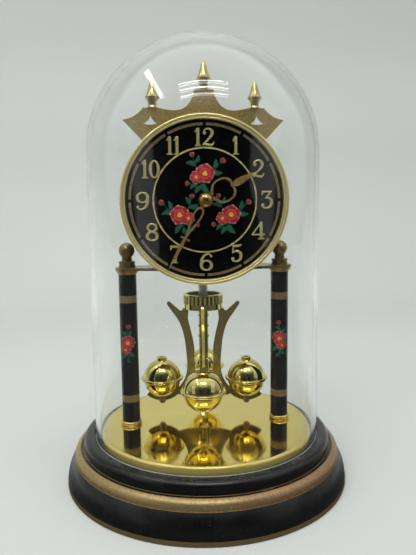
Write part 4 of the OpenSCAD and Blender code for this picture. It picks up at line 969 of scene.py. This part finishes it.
class DOMECLOCK_OT_stage(ClockStep, bpy.types.Operator):
    """Floor and wall, lights, world and camera"""

    bl_idname = "dome_clock.stage"
    bl_label = "Stage"

    def execute(self, context):
        self.sweep()
        self.lights()
        self.world()
        self.camera()
        return {"FINISHED"}

    def sweep(self):
        bpy.ops.mesh.primitive_plane_add(size=2, location=(0, 0, 0))
        floor = bpy.context.object
        floor.name = "floor_and_wall"
        for v in floor.data.vertices:
            v.co = (v.co.x * FLOOR_HALF, FLOOR_FRONT if v.co.y < 0 else FLOOR_BACK, 0)
        bpy.ops.object.mode_set(mode="EDIT")
        bpy.ops.mesh.select_all(action="DESELECT")
        bpy.ops.object.mode_set(mode="OBJECT")
        for e in floor.data.edges:
            e.select = all(floor.data.vertices[i].co.y > 0 for i in e.vertices)
        bpy.ops.object.mode_set(mode="EDIT")
        bpy.ops.mesh.select_mode(type="EDGE")
        rises = []
        for i in range(WALL_STEPS):
            a, b = (math.pi / 2 * k / WALL_STEPS for k in (i, i + 1))
            away, up = math.sin(b) - math.sin(a), math.cos(a) - math.cos(b)
            rises.append((0, WALL_BEND * away, WALL_BEND * up))
        for rise in (*rises, (0, 0, WALL_HEIGHT)):
            bpy.ops.mesh.extrude_region_move(TRANSFORM_OT_translate={"value": rise})
        bpy.ops.mesh.select_all(action="SELECT")
        bpy.ops.mesh.normals_make_consistent(inside=False)
        bpy.ops.object.mode_set(mode="OBJECT")
        bpy.ops.object.shade_smooth()
        f = Finish("pale paper sweep")
        tone = colours().backdrop
        cloud = f.noise(1.3, 3, 0.5)
        _, y, z = f.axes()
        paper = f.mix(f.span(cloud, 0.3, 0.7), tone, shade(tone, 0.95))
        # Painted shade: the wall is darkened towards its top.
        paper = f.mix(f.span(z, 0.36, 0.62, 0.0, 0.17), paper, (0, 0, 0))
        # Painted reflections: where mirrored, the back of the sweep is brighter and the floor in front
        # nearly black.
        mirrored = f.mirrored()
        paper = f.mix(f.times(mirrored, f.span(y, 0.3, 0.6)), paper, shade(tone, 1.3))
        front = f.times(f.span(y, -0.05, 0.1, 0.94, 0.0), f.span(z, 0.02, 0.2, 1.0, 0.0))
        low = f.times(mirrored, front)
        f.set(Base_Color=f.mix(low, paper, shade(tone, 0.05)), Roughness=0.85, Specular_IOR_Level=0.1)
        floor.data.materials.append(f.material)

    def lights(self):
        def area(name, place, aim, wide, tall, watts, along=(1, 0, 0), mirrored=True):
            lamp = bpy.data.lights.new(name, "AREA")
            lamp.shape, lamp.size, lamp.size_y, lamp.energy = "RECTANGLE", wide, tall, watts
            holder = linked(name, lamp)
            back = (Vector(place) - Vector(aim)).normalized()
            side = (Vector(along) - back * back.dot(Vector(along))).normalized()
            turn = Matrix((side, back.cross(side), back)).transposed().to_4x4()
            holder.matrix_world = Matrix.Translation(place) @ turn
            holder.visible_glossy = holder.visible_transmission = mirrored

        # Their images in the dome lie where the photograph shows a window's and a tube's
        crown, shoulder = (-0.004, -0.064, 0.225), (-0.028, -0.057, 0.2285)
        for i, (y, z) in enumerate(((-0.395, 0.901), (-0.472, 0.855), (-0.54, 0.8025))):
            area(f"window_strip_{i}", (-0.02, y, z), crown, 0.53, 0.014, 0.5)
        area("left_tube", (-0.47, -0.155, 0.86), shoulder, 0.55, 0.05, 0.45, (0.02, 0.54, 0.11))
        middle = (0, 0, 0.13)
        area("right_softbox", (0.9, -0.55, 0.5), middle, 0.5, 0.9, 0.5)
        area("left_softbox", (-0.95, -0.5, 0.35), (0, 0, 0.1), 0.4, 0.8, 0.4)
        area("wall_washer", (0, -0.2, 1.7), (0, 0.85, 0.2), 1.6, 0.6, 11.0, mirrored=False)
        area("key_softbox", (-0.9, -1.0, 1.3), middle, 0.8, 0.8, 6.0, mirrored=False)

    def world(self):
        """Evenly pale; mirrored, it is bright above, dim at the sides, dark below and at the viewer."""
        world = bpy.data.worlds.new("soft room")
        world.use_nodes = True
        bpy.context.scene.world = world
        n = Nodes(world.node_tree)
        way = n.add("TexCoord").outputs["Object"]
        dx, dy, dz = n.add("SeparateXYZ", {0: way}).outputs
        sides = n.times(n.span(dy, -0.6, 0.3, 0.0, 0.45), n.span(dz, -0.1, 0.1))
        room = n.plus(n.plus(sides, n.span(dz, 0.25, 0.9, 0.0, 0.65)), 0.04)
        viewer = n.span(n.maths("ABSOLUTE", dx), 0.45, 0.75, 0.85, 0.0)
        viewer = n.times(viewer, n.span(dz, 0.5, 0.75, 1.0, 0.0))
        viewer = n.times(viewer, n.span(dy, -0.6, -0.2, 1.0, 0.0))
        seen = n.times(room, n.minus(1.0, viewer))
        even = 0.55
        ground = n.tree.nodes["Background"]
        n.feed(ground.inputs["Color"], (0.97, 1.0, 0.975))
        n.feed(ground.inputs["Strength"], n.plus(n.times(n.mirrored(), n.minus(seen, even)), even))

    def camera(self):
        lens = bpy.data.cameras.new("photograph view")
        lens.sensor_fit = "HORIZONTAL"
        lens.sensor_width = SENSOR_MM
        lens.lens = FOCAL_PX / FRAME_W * SENSOR_MM
        lens.clip_start = 0.01
        ahead = Vector((math.sin(YAW) * math.cos(PITCH_DOWN), math.cos(YAW) * math.cos(PITCH_DOWN),
                        -math.sin(PITCH_DOWN)))
        right = Vector((math.cos(YAW), -math.sin(YAW), 0))
        up = right.cross(ahead)
        x_axis = math.cos(ROLL) * right + math.sin(ROLL) * up
        y_axis = -math.sin(ROLL) * right + math.cos(ROLL) * up
        pose = Matrix((x_axis, y_axis, -ahead)).transposed().to_4x4()
        pose.translation = EYE
        camera = linked("photograph_view", lens)
        camera.matrix_world = pose
        bpy.context.scene.camera = camera
        bpy.context.scene.view_settings.view_transform = "Standard"


class DOMECLOCK_OT_base(ClockStep, bpy.types.Operator):
    """Turned base, felt and floor plate"""

    bl_idname = "dome_clock.base"
    bl_label = "Base"

    def execute(self, context):
        dress(base_finish(), "base_body")
        dress(felt_finish(), "base_felt")
        dress(plate_finish(), "base_plate")
        return {"FINISHED"}


class DOMECLOCK_OT_columns(ClockStep, bpy.types.Operator):
    """Foot rings, tubes, caps, ball finials and tie rods"""

    bl_idname = "dome_clock.columns"
    bl_label = "Columns"

    def execute(self, context):
        ring = brass("polished foot ring", (0.95, 0.74, 0.28), 0.14, 0.2, 140)
        aged = brass("aged column brass", colours().aged, 0.3, 0.7, 150, 900, 0.00003, metal=0.9, grit=0.45)
        for side in ("left", "right"):
            edges_rounded(f"{side}_foot_ring", ring, 0.4 * MM, 3)
            edges_rounded(f"{side}_column_cap", aged, 0.16 * MM)
        dress(column_finish(), "left_column_tube", "right_column_tube")
        dress(aged, "left_ball_finial", "right_ball_finial")
        dress(steel_finish("tie rod steel"), "left_tie_rod", "right_tie_rod", "tie_rod_washers")
        dress(brass("nut brass", (0.6, 0.44, 0.18), 0.3), "tie_rod_nuts")
        return {"FINISHED"}


class DOMECLOCK_OT_movement(ClockStep, bpy.types.Operator):
    """Bridge, movement case, works and battery"""

    bl_idname = "dome_clock.movement"
    bl_label = "Movement"

    def execute(self, context):
        bridge = brass("aged bridge brass", colours().aged, 0.28, 0.6, 110, 1200, 0.00002,
                       stretch=(0.1, 1, 1), metal=0.85, grit=0.4)
        edges_rounded("movement_bridge", bridge, 0.25 * MM)
        black = plastic_finish("black case plastic", (0.018, 0.018, 0.02), 0.42)
        for node in ("case_front", "case_back"):
            edges_rounded(node, black, 0.35 * MM)
        knob = plastic_finish("knob plastic", (0.014, 0.014, 0.015), 0.36)
        edges_rounded("setting_knob", knob, 0.15 * MM)
        dress(plastic_finish("ivory wheel plastic", (0.66, 0.63, 0.54), 0.34, 1100, 0.00002), "train_plate",
              "second_wheel", "third_wheel", "centre_wheel", "hour_wheel", "motion_wheel")
        dress(plastic_finish("rotor", (0.1, 0.1, 0.11), 0.4), "rotor")
        dress(steel_finish("works steel"), "bridge_screws", "case_screws", "motor_stator",
              "battery_contacts", "drive_magnet")
        dress(brass("bright works brass", (0.62, 0.45, 0.18), 0.24), "minute_arbor", "pendulum_bearing",
              "thrust_collar", "bush_nut")
        dress(board_finish(), "circuit_board")
        dress(coil_finish("motor winding", 0), "motor_coil")
        dress(coil_finish("drive winding", 2), "drive_coil")
        dress(battery_finish(), "battery")
        return {"FINISHED"}


class DOMECLOCK_OT_crest(ClockStep, bpy.types.Operator):
    """Crest plate and its spires"""

    bl_idname = "dome_clock.crest"
    bl_label = "Crest"

    def execute(self, context):
        sheet = brass("aged crest brass", colours().crest, 0.34, 0.5, 70, 900, 0.00003, metal=0.8, grit=0.6)
        edges_rounded("crest_plate", sheet, 0.18 * MM)
        dress(brass("spire brass", colours().spire, 0.17, 0.4, 160, 1400), "crest_finials")
        return {"FINISHED"}


class DOMECLOCK_OT_dial(ClockStep, bpy.types.Operator):
    """Dial plate, bezel, minute track and inner ring"""

    bl_idname = "dome_clock.dial"
    bl_label = "Dial"

    def execute(self, context):
        dress(dial_finish(), "dial_plate")
        bezel = brass("pale bezel brass", colours().bezel, 0.15, 0.08, 60, 1500, metal=0.68, grit=0.04)
        dress(bezel, "dial_bezel")
        dress(track_finish(), "minute_track")
        ring = brass("inner ring gilt", colours().relief, 0.26, 0.2, 120, 1600, metal=0.65)
        edges_rounded("inner_ring", ring, 0.08 * MM)
        return {"FINISHED"}


class DOMECLOCK_OT_numerals(ClockStep, bpy.types.Operator):
    """Twelve raised numerals"""

    bl_idname = "dome_clock.numerals"
    bl_label = "Numerals"

    def execute(self, context):
        gilt = brass("numeral gilt", colours().relief, 0.2, 0.3, 240, 1800, metal=0.72)
        unit = sizes().numeral_height / 100
        for hour in range(1, 13):
            shapes, at = [], 0.0
            for digit in str(hour):
                width, parts = DIGITS[digit]
                for kind, points in parts:
                    outline = stroke_outline(points) if kind == "stroke" else [Vector(p) for p in points]
                    shapes.append([(p[0] + at, p[1]) for p in outline])
                at += width + DIGIT_GAP
            middle = Vector(((at - DIGIT_GAP) / 2, 50))
            loops = [[(Vector(p) - middle) * unit for p in loop] for loop in outlines_united(shapes)]
            piece = raised_shape(f"numeral_{hour}", loops, sizes().numeral_rise, sizes().numeral_round)
            turn = math.radians(30 * hour)
            x, height = (sizes().numeral_ring * way for way in (math.sin(turn), math.cos(turn)))
            piece.data.transform(facing_viewer(x, sizes().numeral_rise / 2, height))
            smoothed(piece, 32)
            settle(piece, "clock_frame", gilt)
        return {"FINISHED"}


class DOMECLOCK_OT_sprigs(ClockStep, bpy.types.Operator):
    """Painted flower sprigs on the dial and on the columns"""

    bl_idname = "dome_clock.sprigs"
    bl_label = "Flower Sprigs"

    def execute(self, context):
        c = colours()
        paints = {
            "petal": petal_finish("red petal paint", c.petal, c.petal_edge),
            "inner": petal_finish("inner petal paint", (0.56, 0.014, 0.02), (0.74, 0.3, 0.3)),
            "leaf": leaf_finish("leaf paint", c.leaf),
            "stamen": stamen_finish(),
        }
        grow = sizes().dial_sprig * MM
        places = (("upper", 0.0, 15.6, -1), ("left", -15.2, -8.4, 1), ("right", 15.2, -8.4, -1))
        for name, x, height, side in places:
            carry = facing_viewer(x * MM, 0.05 * MM, height * MM)
            plants = sprig(DIAL_SPRIG, paints, side)
            piece = joined(f"dial_sprig_{name}", plants, lambda p, m=carry: m @ (p * grow))
            settle(piece, "clock_frame")
        grow = sizes().column_sprig * MM
        for name, side in (("left", -1), ("right", 1)):

            def wrap(p, side=side):
                out = TUBE_R + p.z * MM + 0.04 * MM
                turn = p.x * grow / TUBE_R + math.radians(-8 - 4 * side)
                x, y = side * TUBE_X + out * math.sin(turn), TUBE_Y - out * math.cos(turn)
                return Vector((x, y, COLUMN_SPRIG_Z + p.y * grow))

            piece = joined(f"column_sprig_{name}", sprig(COLUMN_SPRIG, paints, side), wrap)
            settle(piece, "clock_frame")
        return {"FINISHED"}


class DOMECLOCK_OT_hands(ClockStep, bpy.types.Operator):
    """Hour hand, minute hand and domed nut"""

    bl_idname = "dome_clock.hands"
    bl_label = "Hands"

    def execute(self, context):
        copper = brass("coppery hand brass", colours().hands, 0.28, 0.5, 200, 1500, metal=0.8)
        for node in ("hour_hand", "minute_hand"):
            edges_rounded(node, copper, 0.14 * MM)
        dress(brass("hand nut brass", colours().hands, 0.2, 0.4, 220, 1500), "hand_nut")
        return {"FINISHED"}


class DOMECLOCK_OT_pendulum(ClockStep, bpy.types.Operator):
    """Rod, cup, turned column, lyre arms and balls"""

    bl_idname = "dome_clock.pendulum"
    bl_label = "Pendulum"

    def execute(self, context):
        gilt = mirror_gilt("bright pendulum gilt", colours().pendulum, 0.04)
        # Painted shade: the side arms and ball screws get the darkened gilt of the Arms colour.
        arms = mirror_gilt("arm gilt with painted shade", colours().arms, 0.16, 0.8)
        edge = mirror_gilt("bright arm gilt", colours().pendulum, 0.14, 0.6)
        dress(steel_finish("chromed rod", (0.8, 0.79, 0.75), 0.1, metal=0.6), "pendulum_spindle")
        dress(cup_finish(), "pendulum_cup")
        # Painted shade: the pendulum's column takes its gilt darkened to seven tenths.
        dark = mirror_gilt("column gilt with painted shade", shade(colours().pendulum, 0.7), 0.08)
        dress(dark, "pendulum_column")
        for node, finish in {"front": edge, "left": arms, "rear": edge, "right": arms}.items():
            edges_rounded(f"{node}_arm", finish, 0.4 * MM, 3)
        dress(gilt, "ball_upper_shells", "ball_lower_shells")
        dress(arms, "ball_screws")
        return {"FINISHED"}


class DOMECLOCK_OT_dome(ClockStep, bpy.types.Operator):
    """Glass dome and its ground foot"""

    bl_idname = "dome_clock.dome"
    bl_label = "Dome"

    def execute(self, context):
        dress(glass_finish(), "glass_dome")
        bottom, top = DOME_LOW.z + 0.2 * MM, DOME_LOW.z + SEAT_DEPTH + 0.15 * MM
        bpy.ops.mesh.primitive_cylinder_add(vertices=192, radius=DOME_R + 0.02 * MM, depth=top - bottom,
                                            end_fill_type="NOTHING", location=(0, 0, (top + bottom) / 2))
        bpy.ops.object.transform_apply(location=True)
        foot = bpy.context.object
        foot.name = "dome_ground_foot"
        modify(foot, "SOLIDIFY", thickness=0.08 * MM, offset=1.0)
        smoothed(foot, 40)
        settle(foot, "dome", ground_finish())
        return {"FINISHED"}


STEPS = (DOMECLOCK_OT_stage, DOMECLOCK_OT_base, DOMECLOCK_OT_columns, DOMECLOCK_OT_movement,
         DOMECLOCK_OT_crest, DOMECLOCK_OT_dial, DOMECLOCK_OT_numerals, DOMECLOCK_OT_sprigs,
         DOMECLOCK_OT_hands, DOMECLOCK_OT_pendulum, DOMECLOCK_OT_dome)


class DOMECLOCK_PT_steps(bpy.types.Panel):
    """Settings and steps of the dome clock"""

    bl_idname = "DOMECLOCK_PT_steps"
    bl_label = "Dome Clock"
    bl_space_type = "VIEW_3D"
    bl_region_type = "UI"
    bl_category = "Dome Clock"

    def draw(self, context):
        for group in (context.scene.dome_clock_sizes, context.scene.dome_clock_colours):
            box = self.layout.box()
            for key in group.__annotations__:
                box.prop(group, key)
        for step in STEPS:
            self.layout.operator(step.bl_idname)


CLASSES = (DomeClockSizes, DomeClockColours, *STEPS, DOMECLOCK_PT_steps)


def register():
    for each in CLASSES:
        bpy.utils.register_class(each)
    bpy.types.Scene.dome_clock_sizes = PointerProperty(type=DomeClockSizes)
    bpy.types.Scene.dome_clock_colours = PointerProperty(type=DomeClockColours)


def unregister():
    del bpy.types.Scene.dome_clock_colours
    del bpy.types.Scene.dome_clock_sizes
    for each in reversed(CLASSES):
        bpy.utils.unregister_class(each)


def main():
    register()
    for step in STEPS:
        group, name = step.bl_idname.split(".")
        getattr(getattr(bpy.ops, group), name)()
    bpy.context.view_layer.update()


if __name__ == "__main__":
    main()
